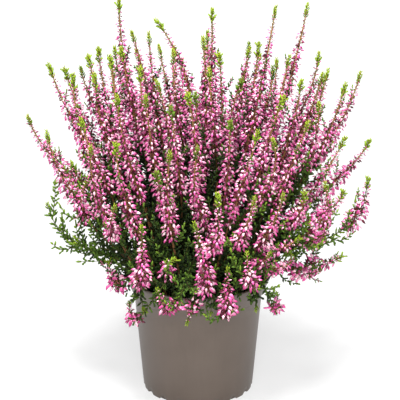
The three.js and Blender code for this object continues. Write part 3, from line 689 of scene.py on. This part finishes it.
# Leafy branches round the rim: "reach" is how far they go beyond it, "rise" how high their ends stand over
# it and "over" how high they pass it. "bare" is the azimuth they leave open and how far to each side of it.
# They start at the wood nearest to a point within the rim, at this reach and height, and sway to a side.
LOW_BRANCH = {"reach": (30, 50), "height": (94, 116), "sway": (-12, 12), "arch": 7, "points": 8}
SKIRT = {
    "count": 46, "from_height": 126, "size": 1.0, "bare": (-8, 38),
    "reach": (3, 13), "rise": (-9, 5), "over": (6, 16),
}
FRINGE = {
    "count": 38, "from_height": 132, "size": 1.2, "bare": (-90, 55),
    "reach": (14, 46), "rise": (14, 52), "over": (10, 26),
}


def between(rows, at):
    """Rows of an array at places between them, straight from each row to the next."""
    low = np.clip(np.floor(at).astype(int), 0, len(rows) - 2)
    k = np.clip(at - low, 0, 1)[:, None]
    return rows[low] * (1 - k) + rows[low + 1] * k


def spaced(count, rng):
    """Shares of a run, one drawn in each of so many equal parts of it."""
    return (np.arange(count) + rng.uniform(0.1, 0.9, count)) / count


class Axis:
    """A spike's centreline with its frames, its distances from the tip and the room round it."""

    def __init__(self, spikes, samples, number):
        self.spike = spikes[number]
        _, distance, self.point, self.whole = walk(self.spike["handles"], 2)
        self.from_tip = self.whole - distance
        self.room = room_along(spikes, samples, number, self.point, self.from_tip, self.whole)
        self.is_low = self.spike["ease"] == EASE["bent"]
        self.size = 1 if self.spike["flowers"] else LEAFY_SIZE
        (self.forward,), (self.side,), _ = transported(self.point[None], np.array([[1.0, 0.0, 0.0]]))

    def at(self, from_tip):
        """Points, directions, sides and room at distances from the tip."""
        at = (self.whole - np.asarray(from_tip)) / self.whole * (len(self.point) - 1)
        forward = unit(between(self.forward, at))
        side = square_to(forward, between(self.side, at))
        room = between(self.room[:, None], at)[:, 0]
        return between(self.point, at), forward, side, np.cross(forward, side), room

    def whorls(self, start, end, pitch, count, rng, least=0.0, most=np.inf):
        """Repeats in crossing whorls: distances from the tip, points, the ways on and out, and room.

        The pitch and the count of a whorl are numbers, or functions of the distance from the tip.
        """
        places, angles = [], []
        at, turn = start, rng.uniform(0, 6.28)
        while at < end:
            step, usual = (value(at) if callable(value) else value for value in (pitch, count))
            n = max(1, round(usual + rng.uniform(-0.4, 0.4)))
            for j in range(n):
                places.append(at + rng.uniform(-0.3, 0.3) * step)
                angles.append(turn + 2 * math.pi * j / n + rng.uniform(-0.25, 0.25))
            turn += math.pi / n + 0.15
            at += step
        place = np.clip(places, least, most)
        point, forward, side, third, room = self.at(place)
        return place, point, forward, around(side, third, np.array(angles)), room

    def side_paths(self, place, plan, rng):
        """Curves that leave the spike at distances from its tip and turn up, if they stay clear."""
        n = len(place)
        point, forward, side, third, room = self.at(place)
        outward = around(side, third, 2.4 * np.arange(n) + rng.uniform(0, 6.28))
        length = (plan["add_room"] * room + rng.uniform(*plan["length"], n))[:, None]
        lean = unit(around(forward, outward, np.radians(rng.uniform(*plan["slant"], n))))
        up = unit(lean + UP * plan["lift"])
        handles = [point, point + lean * length * 0.35, point + lean * length * 0.7, point + up * length]
        paths = bezier_paths(handles, plan["points"])
        return paths[keeps_clear(paths)]


def add_buds(surface, axis, rng):
    """The run of small drooping buds, young and pale near the tip and full below, with their stalks."""
    run = axis.spike["flowers"]
    tip, bud, width = growth_of(axis.spike)
    start, full = 0.75 * tip, tip + 1.3 * bud

    def pitch(at):
        return float(blend(*BUDS["pitch"], (at - start) / (full - start))) / (1 + 0.6 * (width - 1))

    def count(at):
        room = np.interp(at, axis.from_tip[::-1], axis.room[::-1])
        return float(blend(*BUDS["whorl"], (at - tip) / bud) + 0.5 * max(room - 5, 0))

    place, point, forward, outward, room = axis.whorls(start, run, pitch, count, rng, 0.66 * tip, run)
    n = len(place)
    grown = smooth((place - start) / (full - start))
    young_length, full_length = BUDS["length"]
    length = blend(young_length, full_length * width, grown) * rng.uniform(0.8, 1.2, n)
    inner = rng.random(n) < blend(*BUDS["inner"], grown)
    reach = room * np.where(inner, rng.uniform(0.5, 0.75, n), rng.uniform(0.78, 1.04, n))
    reach = np.maximum(reach, 0.8 + 0.5 * length)
    droop = np.radians(blend(*BUDS["droop"], grown) + rng.normal(0, 14, n))
    down = unit(0.7 * forward + UP * 0.3)
    direction = unit(around(outward, -down, droop))
    root_reach = np.maximum(reach - length * np.cos(droop), 0.7)
    sway = rng.uniform(-0.9, 0.9, n)
    root = point + outward * root_reach[:, None] + forward * sway[:, None]
    thick = length * rng.uniform(0.21, 0.27, n)
    spread = blend(*BUDS["spread"], grown)
    # Buds that stand further in get deep, dark tones: painted shade inside the spike.
    tone = rng.normal(blend(*BUDS["tone"], grown), spread) + 0.5 * inner
    for at, template in ((~inner, FINE_BUD), (inner, PLAIN_BUD)):
        buds = root[at], direction[at], length[at], thick[at]
        surface.scatter(template, *buds, BUD, tone[at], forward[at])
    stalk_root = (point - forward * (0.35 * root_reach)[:, None])[~inner]
    span = (root + direction * 0.3)[~inner] - stalk_root
    long = np.linalg.norm(span, axis=1)
    surface.scatter(STALK, stalk_root, unit(span), long, 0.3, WOOD, STALK_TONE, forward[~inner])


def add_leaves(surface, root, direction, length, tone, width, kind=LEAF):
    """Single leaves, or brown ones with the colours of the wood."""
    tone = tone * (0.5 if kind == WOOD else 1)
    surface.scatter(LEAF_BLADE, root, direction, length, length * width, kind, tone, LEAF_BESIDE)


def add_shoots(surface, root, direction, length, thick, tone, rng):
    """Short shoots covered in scale leaves."""
    roll = rng.uniform(0, 2 * math.pi, len(root))
    surface.scatter(SCALY_SHOOT, root, direction, length, thick, LEAF, tone, SHOOT_BESIDE, roll)


def add_bracts(surface, axis, rng):
    """The small leaves that stand between the flowers, many of them brown, given dark tones as painted shade
    between the flowers.
    """
    run = axis.spike["flowers"]
    tip = growth_of(axis.spike)[0]
    pitch, count = BRACTS["pitch"], BRACTS["whorl"]
    place, point, forward, outward, room = axis.whorls(tip, run, pitch, count, rng, 2, run)
    n = len(place)
    below = (place - tip) / 30
    direction = unit(forward * 0.8 + outward + rng.normal(0, 0.3, (n, 3)))
    length = np.clip(0.6 * room, 2.2, 4.6) * rng.uniform(0.8, 1.2, n)
    # Darker away from the tip: painted shade between the flowers.
    tone = blend(0.5, 0.06, below) + rng.normal(0, 0.07, n)
    brown = rng.random(n) < blend(0.45, 0.8, below)
    root = point + outward * 0.3
    for at, kind in ((~brown, LEAF), (brown, WOOD)):
        add_leaves(surface, root[at], direction[at], length[at], tone[at], BRACTS["width"], kind)


def add_tip(surface, axis, rng):
    """The growing tip: crossing pairs of leaves, on some spikes with a few open side shoots.

    Most of the tips that stand down among the other spikes get darker, duller tones: painted shade.
    """
    is_open = rng.random() < 0.4
    x, y, z = axis.spike["tip"]
    among = SHADED_TIPS["from"] < z < SHADED_TIPS["to"] and math.hypot(x, y) < SHADED_TIPS["reach"]
    shaded = among and rng.random() < SHADED_TIPS["share"]
    end = growth_of(axis.spike)[0] + 1
    place, point, forward, outward, _ = axis.whorls(1.0, end, TIP["pitch"], 2, rng)
    n = len(place)
    direction = unit(forward + outward * blend(0.35, 0.85, place / end)[:, None])
    length = blend(3.0, 4.5, smooth(place / 6)) * rng.uniform(0.85, 1.15, n)
    # Darker tones for shaded tips: painted shade.
    tone = blend(*TIP["shaded" if shaded else "light"], place / end) + rng.normal(0, 0.05, n)
    add_leaves(surface, point + outward * 0.3, direction, length, tone, TIP["width"])
    if is_open:
        place, point, forward, outward, _ = axis.whorls(0.42 * end, end + 3, 4.0, 2, rng)
        long = rng.uniform(4.4, 6.4, len(place))
        # The open shoots of shaded tips are darker too: painted shade.
        tone = 0.55 if shaded else 0.78
        add_shoots(surface, point, unit(forward + outward * 0.85), long, 1.1, tone, rng)


def add_foliage(surface, axis, rng):
    """Short shoots in crossing pairs on the part of a spike below its flowers."""
    plan = LOW_SHOOTS if axis.is_low else SHOOTS
    start = max(axis.spike["flowers"] - 6, 10)
    end = axis.whole - 0.5 * axis.spike["bare"]
    place, point, forward, outward, room = axis.whorls(start, end, plan["pitch"], 2, rng, 4, axis.whole)
    n = len(place)
    slant = np.radians(rng.uniform(*plan["slant"], n))
    long = np.clip(np.maximum(room, 3.4) / np.sin(slant) * 1.1, 3.5, plan["longest"])
    length = axis.size * long * rng.uniform(0.75, 1.1, n)
    direction = unit(around(forward, outward, slant))
    # The shoots' tones carry painted shade: darker inside the crown.
    tone = painted_crown_shade(point) + 0.1 * axis.is_low + rng.normal(0, 0.08, n)
    thick = axis.size * rng.uniform(0.95, 1.25, n)
    add_shoots(surface, point + outward * 0.3, direction, length, thick, tone, rng)


def painted_crown_shade(point):
    """Tones of the leaves at points, as painted shade: darker inside the crown, lighter towards its outside
    and top.
    """
    outside = np.maximum(np.hypot(point[..., 0], point[..., 1]) / 125, (point[..., 2] - POT["height"]) / 260)
    return blend(0.0, 0.46, (outside - 0.3) / 0.7)


def add_sprays(surface, paths, rng, size=1.0):
    """Leafy side branches along paths of equally many points: thin wood with crossing pairs of shoots."""
    copies, count = paths.shape[:2]
    if not copies:
        return
    radii = np.broadcast_to(blend(0.5, 0.25, np.linspace(0, 1, count)), (copies, count))
    tubes(surface, paths, radii, SPRAY_TONE, 3)
    frames = transported(paths)
    lengths = np.linalg.norm(np.diff(paths, axis=1), axis=2).sum(1)
    for path, forward, side, third, length in zip(paths, *frames, lengths):
        pairs = max(3, int(length / (SPRAY_PITCH * size)))
        n, pair = 2 * pairs, np.repeat(np.arange(pairs), 2)
        share = (pair + rng.uniform(0.2, 0.8, n)) / pairs
        at = share * (count - 1)
        angle = np.tile([0, math.pi], pairs) + pair * math.pi / 2 + rng.uniform(-0.4, 0.4, n)
        outward = around(between(side, at), between(third, at), angle)
        slant = np.radians(rng.uniform(*SPRAY_SLANT, n))
        direction = unit(around(unit(between(forward, at)), outward, slant))
        root = between(path, at)
        long = size * blend(6.4, 3.6, share) * rng.uniform(0.75, 1.15, n)
        # The shoots' tones carry painted shade: darker inside the crown.
        tone = painted_crown_shade(root) + 0.14 * share + rng.normal(0, 0.06, n)
        add_shoots(surface, root, direction, long, size * rng.uniform(0.95, 1.2, n), tone, rng)
    end = paths[:, -1]
    long = size * rng.uniform(3.5, 5.5, copies)
    # The end shoots carry the same painted shade, lightened.
    add_shoots(surface, end, frames[0][:, -1], long, size, painted_crown_shade(end) + 0.25, rng)


def bezier_paths(handles, count):
    """Points along cubic curves whose four handles are given as arrays of points."""
    weights = bernstein(np.linspace(0, 1, count))
    return np.einsum("ck,knd->ncd", weights, np.stack(handles))


def keeps_clear(paths):
    """Which paths stay off the pot's wall and collar, above the peat and inside the part's box."""
    radius = np.hypot(paths[..., 0], paths[..., 1])
    height = paths[..., 2]
    inner, outer = POT["body_top_radius"] - POT_MARGIN, POT["rim_radius"] + POT_MARGIN
    sunk = (radius < outer) & (height < SOIL_TOP + 2)
    near = (radius > inner) & (radius < outer) & (height < POT["height"] + POT_MARGIN)
    hanging = (radius >= outer) & (height < POT["height"] - 6)
    return keeps_inside(paths) & ~(sunk | near | hanging).any(axis=1)


def keeps_inside(paths):
    """Which paths leave the margin free at the edge of the part's box."""
    low, high = (np.array(corner) / MM for corner in CAD_BOX)
    return ((paths > low + SPRAY_MARGIN) & (paths < high - SPRAY_MARGIN)).all(axis=(1, 2))


def add_side_sprays(surface, axis, rng):
    """Leafy side branches that fill the crown below the flowers."""
    start = max(axis.spike["flowers"] - 4, 14)
    end = axis.whole - 0.55 * axis.spike["bare"]
    if end - start < 6:
        return
    n = int((end - start) * axis.size / SPRAYS["spacing"] * rng.uniform(0.8, 1.2)) + 1
    place = start + (end - start) * spaced(n, rng)
    add_sprays(surface, axis.side_paths(place, SPRAYS, rng), rng, axis.size)


def add_twigs(surface, axis, rng):
    """Thin side twigs with small leaves and a few tiny buds, that stand among the flowers."""
    run = axis.spike["flowers"]
    n = int(run / TWIGS["spacing"])
    if not n:
        return
    place = run * (0.3 + 0.68 * spaced(n, rng))
    paths = axis.side_paths(place, TWIGS, rng)
    add_sprays(surface, paths, rng, TWIG_SIZE)
    for path in paths:
        root = between(path, rng.uniform(0.35, 0.95, TWIG_BUDS) * (len(path) - 1))
        direction = unit(path[-1] - path[0]) * 0.3 + rng.normal(0, 0.6, (TWIG_BUDS, 3)) - UP * 0.3
        long = rng.uniform(1.8, 2.8, TWIG_BUDS)
        tone = rng.uniform(0, 0.7, TWIG_BUDS)
        surface.scatter(PLAIN_BUD, root, unit(direction), long, 0.27 * long, BUD, tone, TWIG_BUD_BESIDE)


def add_low_branches(surfaces, axes, plan, rng):
    """Leafy branches from the feet of the stems that lean out over the pot's rim all round."""
    owner = np.repeat(np.arange(len(axes)), [len(axis.point) for axis in axes])
    points = np.concatenate([axis.point for axis in axes])
    usable = (points[:, 2] > SOIL_TOP + 4) & (points[:, 2] < plan["from_height"])
    owner, points = owner[usable], points[usable]
    bare_at, bare_each_side = np.radians(plan["bare"])
    for azimuth in 2 * math.pi * spaced(plan["count"], rng):
        if math.cos(azimuth - bare_at) > math.cos(bare_each_side):
            continue
        way = np.array([math.cos(azimuth), math.sin(azimuth), 0])
        wanted = way * rng.uniform(*LOW_BRANCH["reach"]) + UP * rng.uniform(*LOW_BRANCH["height"])
        nearest = np.argmin(np.linalg.norm(points - wanted, axis=1))
        start = points[nearest]
        over = way * (POT["rim_radius"] - 2) + UP * (POT["height"] + rng.uniform(*plan["over"]))
        end = way * (POT["rim_radius"] + rng.uniform(*plan["reach"]))
        end = end + UP * (POT["height"] + rng.uniform(*plan["rise"]))
        sideways = np.array([-way[1], way[0], 0]) * rng.uniform(*LOW_BRANCH["sway"])
        inner = start * 0.45 + over * 0.55 + UP * LOW_BRANCH["arch"]
        handles = [start, inner, over + sideways * 0.6, end + sideways]
        path = bezier_paths([handle[None] for handle in handles], LOW_BRANCH["points"])
        stem = axes[owner[nearest]].spike["stem"]
        add_sprays(surfaces[stem], path[keeps_inside(path)], rng, plan["size"])


def add_wood(surface, axis):
    """The spike's own wood."""
    from_tip = np.linspace(axis.whole, 0.3, max(6, int(axis.whole / 8)))
    kind = "low" if axis.is_low else "stem" if axis.spike["parent"] is None else "fork"
    radii = np.interp(from_tip, [0, 30, 120, max(axis.whole, 121)], WOOD_RADII[kind])
    tone = SPRAY_TONE if axis.is_low else BARK_TONE
    tubes(surface, axis.at(from_tip)[0][None], radii[None], tone)


# ---- Materials ----


def colour(red, green, blue):
    """A screen colour, 0 to 255, as the linear colour that a shader takes."""
    parts = [c / 255 for c in (red, green, blue)]
    return (*[c / 12.92 if c <= 0.04045 else ((c + 0.055) / 1.055) ** 2.4 for c in parts], 1)


class Nodes:
    """A material's node tree, with a Principled shader at its end."""

    def __init__(self, name, roughness, specular=0.5):
        self.material = bpy.data.materials.new(name)
        self.material.use_nodes = True
        self.tree = self.material.node_tree
        self.shader = self.tree.nodes["Principled BSDF"]
        self.set(self.shader, {"Roughness": roughness, "Specular IOR Level": specular})

    def set(self, node, inputs):
        """Gives a node's inputs their values, or links them to the sockets that they come from."""
        for key, value in inputs.items():
            if isinstance(value, bpy.types.NodeSocket):
                self.tree.links.new(value, node.inputs[key])
            else:
                node.inputs[key].default_value = value

    def new(self, kind, inputs=None, **settings):
        node = self.tree.nodes.new(kind)
        for key, value in settings.items():
            setattr(node, key, value)
        self.set(node, inputs or {})
        return node

    def ramp(self, factor, *stops, constant=False):
        """A ramp through stops, each a position with a screen colour or with a linear grey."""
        node = self.new("ShaderNodeValToRGB", {"Fac": factor})
        elements = node.color_ramp.elements
        if constant:
            node.color_ramp.interpolation = "CONSTANT"
        for index, (position, *value) in enumerate(stops):
            element = elements[index] if index < 2 else elements.new(position)
            element.position = position
            element.color = colour(*value) if len(value) == 3 else (*value * 3, 1)
        return node.outputs["Color"]

    def mix(self, factor, a, b, blend_type="MIX"):
        inputs = {0: factor, 6: a, 7: b}
        return self.new("ShaderNodeMix", inputs, data_type="RGBA", blend_type=blend_type).outputs[2]

    def times(self, a, b):
        return self.mix(1.0, a, b, "MULTIPLY")

    def along_and_tone(self, kind):
        """u along the bud or leaf, its tone from 0 to 1 and the whole UV, from the piece's UV map."""
        uv = self.new("ShaderNodeUVMap", uv_map="OFBake").outputs[0]
        split = self.new("ShaderNodeSeparateXYZ", {0: uv})
        low, high, _ = BANDS[kind]
        tone = self.new("ShaderNodeMapRange", {0: split.outputs[1], 1: low, 2: high})
        return split.outputs[0], tone.outputs[0], uv

    def place(self):
        return self.new("ShaderNodeTexCoord").outputs["Object"]

    def noise(self, place, scale, detail):
        """Noise of one scale, or stretched by three scales."""
        if not isinstance(scale, float):
            place, scale = self.new("ShaderNodeMapping", {"Vector": place, "Scale": scale}).outputs[0], 1.0
        inputs = {"Vector": place, "Scale": scale, "Detail": detail}
        return self.new("ShaderNodeTexNoise", inputs).outputs["Fac"]

    def bump(self, height, strength, distance):
        bump = self.new("ShaderNodeBump", {"Height": height, "Strength": strength, "Distance": distance})
        self.set(self.shader, {"Normal": bump.outputs[0]})

    def coloured(self, base):
        self.set(self.shader, {"Base Color": base})
        return self.material


def bud_material():
    n = Nodes("heather_bud", 0.55, 0.2)
    along, tone, uv = n.along_and_tone(BUD)
    pale = n.ramp(along, (0.0, 252, 238, 235), (0.4, 250, 208, 219), (1.0, 226, 112, 160))
    root = (0.0, 250, 216, 220), (0.24, 240, 156, 198)
    bright = n.ramp(along, *root, (0.5, 220, 90, 158), (0.8, 204, 68, 140), (1.0, 174, 44, 106))
    # Deep crimson: for some buds at random, and as painted shade for the buds that stand further in.
    deep = n.ramp(along, (0.0, 128, 64, 66), (0.35, 88, 18, 38), (1.0, 40, 6, 14))
    lower = n.ramp(tone, (0.04, 0.0), (0.3, 1.0))
    upper = n.ramp(tone, (0.44, 0.0), (0.92, 1.0))
    streak = n.ramp(n.noise(uv, (2, 420, 1), 2.0), (0.3, 0.78), (0.7, 1.12))
    return n.coloured(n.times(n.mix(upper, n.mix(lower, pale, bright), deep), streak))


def leaf_material():
    n = Nodes("heather_leaf", 0.55, 0.12)
    along, tone, uv = n.along_and_tone(LEAF)
    # The darkest rows give the painted shade inside the crown and between the flowers.
    dark = (0.0, 14, 20, 9), (0.25, 32, 48, 19)
    green = n.ramp(tone, *dark, (0.5, 76, 104, 34), (0.8, 120, 143, 36), (1.0, 157, 176, 50))
    length = n.ramp(along, (0.0, 0.62), (0.5, 1.0), (1.0, 1.18))
    streak = n.ramp(n.noise(uv, (3, 300, 1), 2.0), (0.3, 0.85), (0.7, 1.1))
    return n.coloured(n.times(n.times(green, length), streak))


def wood_material():
    n = Nodes("heather_wood", 0.75, 0.1)
    along, tone, uv = n.along_and_tone(WOOD)
    bark = n.ramp(along, (0.0, 44, 30, 18), (0.3, 84, 60, 36), (0.7, 146, 102, 68), (1.0, 146, 120, 68))
    stalk = n.ramp(along, (0.0, 112, 76, 48), (1.0, 170, 100, 90))
    shoot = n.ramp(along, (0.0, 66, 56, 34), (1.0, 78, 88, 36))
    is_stalk = n.ramp(tone, (0.0, 0.0), (0.5, 1.0), constant=True)
    is_shoot = n.ramp(tone, (0.0, 0.0), (0.75, 1.0), constant=True)
    streak = n.ramp(n.noise(uv, (30, 120, 1), 2.0), (0.3, 0.72), (0.7, 1.15))
    return n.coloured(n.times(n.mix(is_shoot, n.mix(is_stalk, bark, stalk), shoot), streak))


def pot_material():
    n = Nodes("pot_plastic", 0.42)
    place = n.place()
    tint = n.ramp(n.noise(place, 38.0, 4.0), (0.3, 84, 72, 63), (0.7, 89, 77, 68))
    lines = n.ramp(n.noise(place, (420, 420, 14), 3.0), (0.35, 0.985), (0.65, 1.015))
    n.bump(n.noise(place, 2600.0, 2.0), 0.12, 0.0002)
    return n.coloured(n.times(tint, lines))


def peat_material():
    n = Nodes("peat", 0.95, 0.2)
    fine = n.noise(n.place(), 700.0, 5.0)
    n.bump(fine, 0.8, 0.0012)
    return n.coloured(n.ramp(fine, (0.3, 24, 18, 14), (0.55, 48, 36, 27), (0.75, 78, 58, 42)))


def floor_material():
    """A pale floor that glows a little, and more so far from the pot, where the lamps don't reach."""
    n = Nodes("floor", 0.9, 0.1)
    reach = n.new("ShaderNodeVectorMath", {0: n.place()}, operation="LENGTH").outputs["Value"]
    glow = n.new("ShaderNodeMapRange", {0: reach, 1: 0.5, 2: 1.3, 3: 0.67, 4: 1.0})
    n.set(n.shader, {"Emission Color": (1, 1, 1, 1), "Emission Strength": glow.outputs[0]})
    return n.coloured((0.3, 0.3, 0.3, 1))


# ---- Pot and peat ----


def pot_rings():
    """The pot's profile as (radius, height), from its underside round the rim to the inside."""
    foot, body, rim = POT["foot_radius"], POT["body_top_radius"], POT["rim_radius"]
    wall, top = POT["wall"], POT["height"]
    rings = [(0, 0), (20, 0), (40, 0), (foot - NOTCH["depth"] - 0.1, 0)]
    rings += [(foot - NOTCH["depth"], 0.02), (foot - 1, 0), (foot - 0.3, 0.3), (foot, 1)]
    for step in range(1, 10):
        height = 1.0 + (COLLAR_FOOT - 2.0) * (step / 9) ** 1.2
        rings.append((foot + (body - foot) * height / COLLAR_FOOT, height))
    rings += [(body + 0.1, COLLAR_FOOT - 0.75), (body + 0.5, COLLAR_FOOT - 0.5)]
    rings += [(body + POT["collar_step"], COLLAR_FOOT), (body + 1.25, COLLAR_FOOT + 0.5)]
    for share in (0.1, 0.3, 0.5, 0.7, 0.9):
        rings.append((body + 1 + (rim - body - 1) * share, COLLAR_FOOT + (top - 1 - COLLAR_FOOT) * share))
    rings += [(rim, top - 0.9), (rim + 0.02, top - 0.5), (rim - 0.25, top - 0.1), (rim - 0.7, top)]
    rings += [(rim - 1.3, top - 0.05), (rim - wall, top - 0.5)]
    for share in (0.75, 0.5, 0.25, 0.0):
        height = COLLAR_FOOT - 0.4 + (top - COLLAR_FOOT - 0.4) * share
        rings.append((body - wall + (rim - body) * share, height))
    for share in (0.66, 0.33, 0.0):
        rings.append((foot - wall + (body - foot) * share, POT["floor"] + (COLLAR_FOOT - 5) * share))
    return np.array(rings + [(0, POT["floor"])], float)


def build_pot():
    """The turned pot, with drain notches where its wall meets the table."""
    rings = pot_rings()
    radius, height = rings.T
    segments = 12 * NOTCH["count"]
    u = np.arange(segments + 1) / segments
    angle = 2 * math.pi * u[:-1]
    off = abs(u[:-1] * NOTCH["count"] % 1 - 0.5) * 2 * math.pi / NOTCH["count"] * POT["foot_radius"]
    lift = NOTCH["height"] * (1 - smooth((off - NOTCH["width"] / 2 + 0.3) / 0.8))
    z = np.maximum(height[:, None], np.outer(radius >= POT["foot_radius"] - NOTCH["depth"], lift))
    points = np.stack([np.outer(radius, np.cos(angle)), np.outer(radius, np.sin(angle)), z], axis=-1)
    number = np.arange(len(rings) * segments).reshape(len(rings), segments)
    number = np.concatenate([number, number[:, :1]], axis=1)
    reached = np.concatenate([[0], np.cumsum(np.hypot(*np.diff(rings, axis=0).T))])
    uv = np.stack(np.meshgrid(u, reached / reached[-1]), axis=-1)
    faces, uvs = (np.stack([g[:-1, :-1], g[:-1, 1:], g[1:, 1:], g[1:, :-1]], axis=2) for g in (number, uv))
    faces = faces.reshape(-1, 4)
    pot = add_mesh("nursery_pot", points.reshape(-1, 3), faces, uvs, [pot_material()], np.zeros(len(faces)))
    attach(pot, "root")
    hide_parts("pot")


# ---- The scene ----

VIEW = {"target": (0.0017, 0.0, 0.173), "distance": 1.8, "elevation": 20.3, "lens": 187.65, "sensor": 36}
FLOOR_SIDE = 12
WORLD_GLOW = 0.17
# Each lamp: place, target, size and power.
LAMPS = {
    "key": ((-0.1, -0.7, 2.05), (0, 0, 0.2), 0.7, 84),
    "front": ((0.0, -2.0, 1.0), (0, 0, 0.2), 0.8, 36),
    "fill": ((1.5, -0.8, 1.2), (0, 0, 0.1), 1.2, 5),
}


def add_aimed(name, data, place, target):
    """Puts a camera or a lamp at a place, turned to its target."""
    made = add_object(name, data)
    made.location = place
    made.rotation_euler = (Vector(place) - Vector(target)).to_track_quat("Z", "Y").to_euler()
    return made


def add_camera():
    data = bpy.data.cameras.new("camera")
    data.sensor_width = VIEW["sensor"]
    data.lens = VIEW["lens"]
    elevation = math.radians(VIEW["elevation"])
    back = Vector((0, -math.cos(elevation), math.sin(elevation)))
    target = Vector(VIEW["target"])
    bpy.context.scene.camera = add_aimed("camera", data, target + back * VIEW["distance"], target)


def add_lamp(name, place, target, size, power):
    data = bpy.data.lights.new(name, "AREA")
    data.shape = "DISK"
    data.size = size
    data.energy = power
    add_aimed(name, data, place, target)


def add_studio():
    corners = np.array([(-1, -1, 0), (1, -1, 0), (1, 1, 0), (-1, 1, 0)]) * FLOOR_SIDE / 2
    mesh = bpy.data.meshes.new("floor")
    mesh.from_pydata(corners.tolist(), [], [(0, 1, 2, 3)])
    mesh.materials.append(floor_material())
    floor = add_object("floor", mesh)
    world = bpy.data.worlds.new("studio")
    world.use_nodes = True
    background = world.node_tree.nodes["Background"]
    background.inputs["Color"].default_value = (1, 1, 1, 1)
    background.inputs["Strength"].default_value = WORLD_GLOW
    bpy.context.scene.world = world
    bpy.context.scene.view_settings.view_transform = "Standard"
    for name, lamp in LAMPS.items():
        add_lamp(name, *lamp)


def add_plant():
    names, spikes = plan_spikes()
    samples = samples_of(spikes)
    axes = [Axis(spikes, samples, number) for number in range(len(spikes))]
    surfaces = [Surface() for _ in names]
    for number, axis in enumerate(axes):
        rng = np.random.default_rng(SPIKE_SEED + number)
        surface = surfaces[axis.spike["stem"]]
        add_wood(surface, axis)
        add_tip(surface, axis, rng)
        add_foliage(surface, axis, rng)
        add_side_sprays(surface, axis, rng)
        if axis.spike["flowers"]:
            add_twigs(surface, axis, rng)
            add_bracts(surface, axis, rng)
            add_buds(surface, axis, rng)
    rng = np.random.default_rng(LOW_BRANCH_SEED)
    for plan in (SKIRT, FRINGE):
        add_low_branches(surfaces, axes, plan, rng)
    materials = [bud_material(), leaf_material(), wood_material()]
    for name, surface in zip(names, surfaces):
        piece = surface.build(name + "_fine", materials)
        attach(piece, "root")
        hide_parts(name)


add_camera()
add_studio()
build_pot()
frame["nodes"]["soil"].data.materials.clear()
frame["nodes"]["soil"].data.materials.append(peat_material())
add_plant()

bpy.context.view_layer.update()
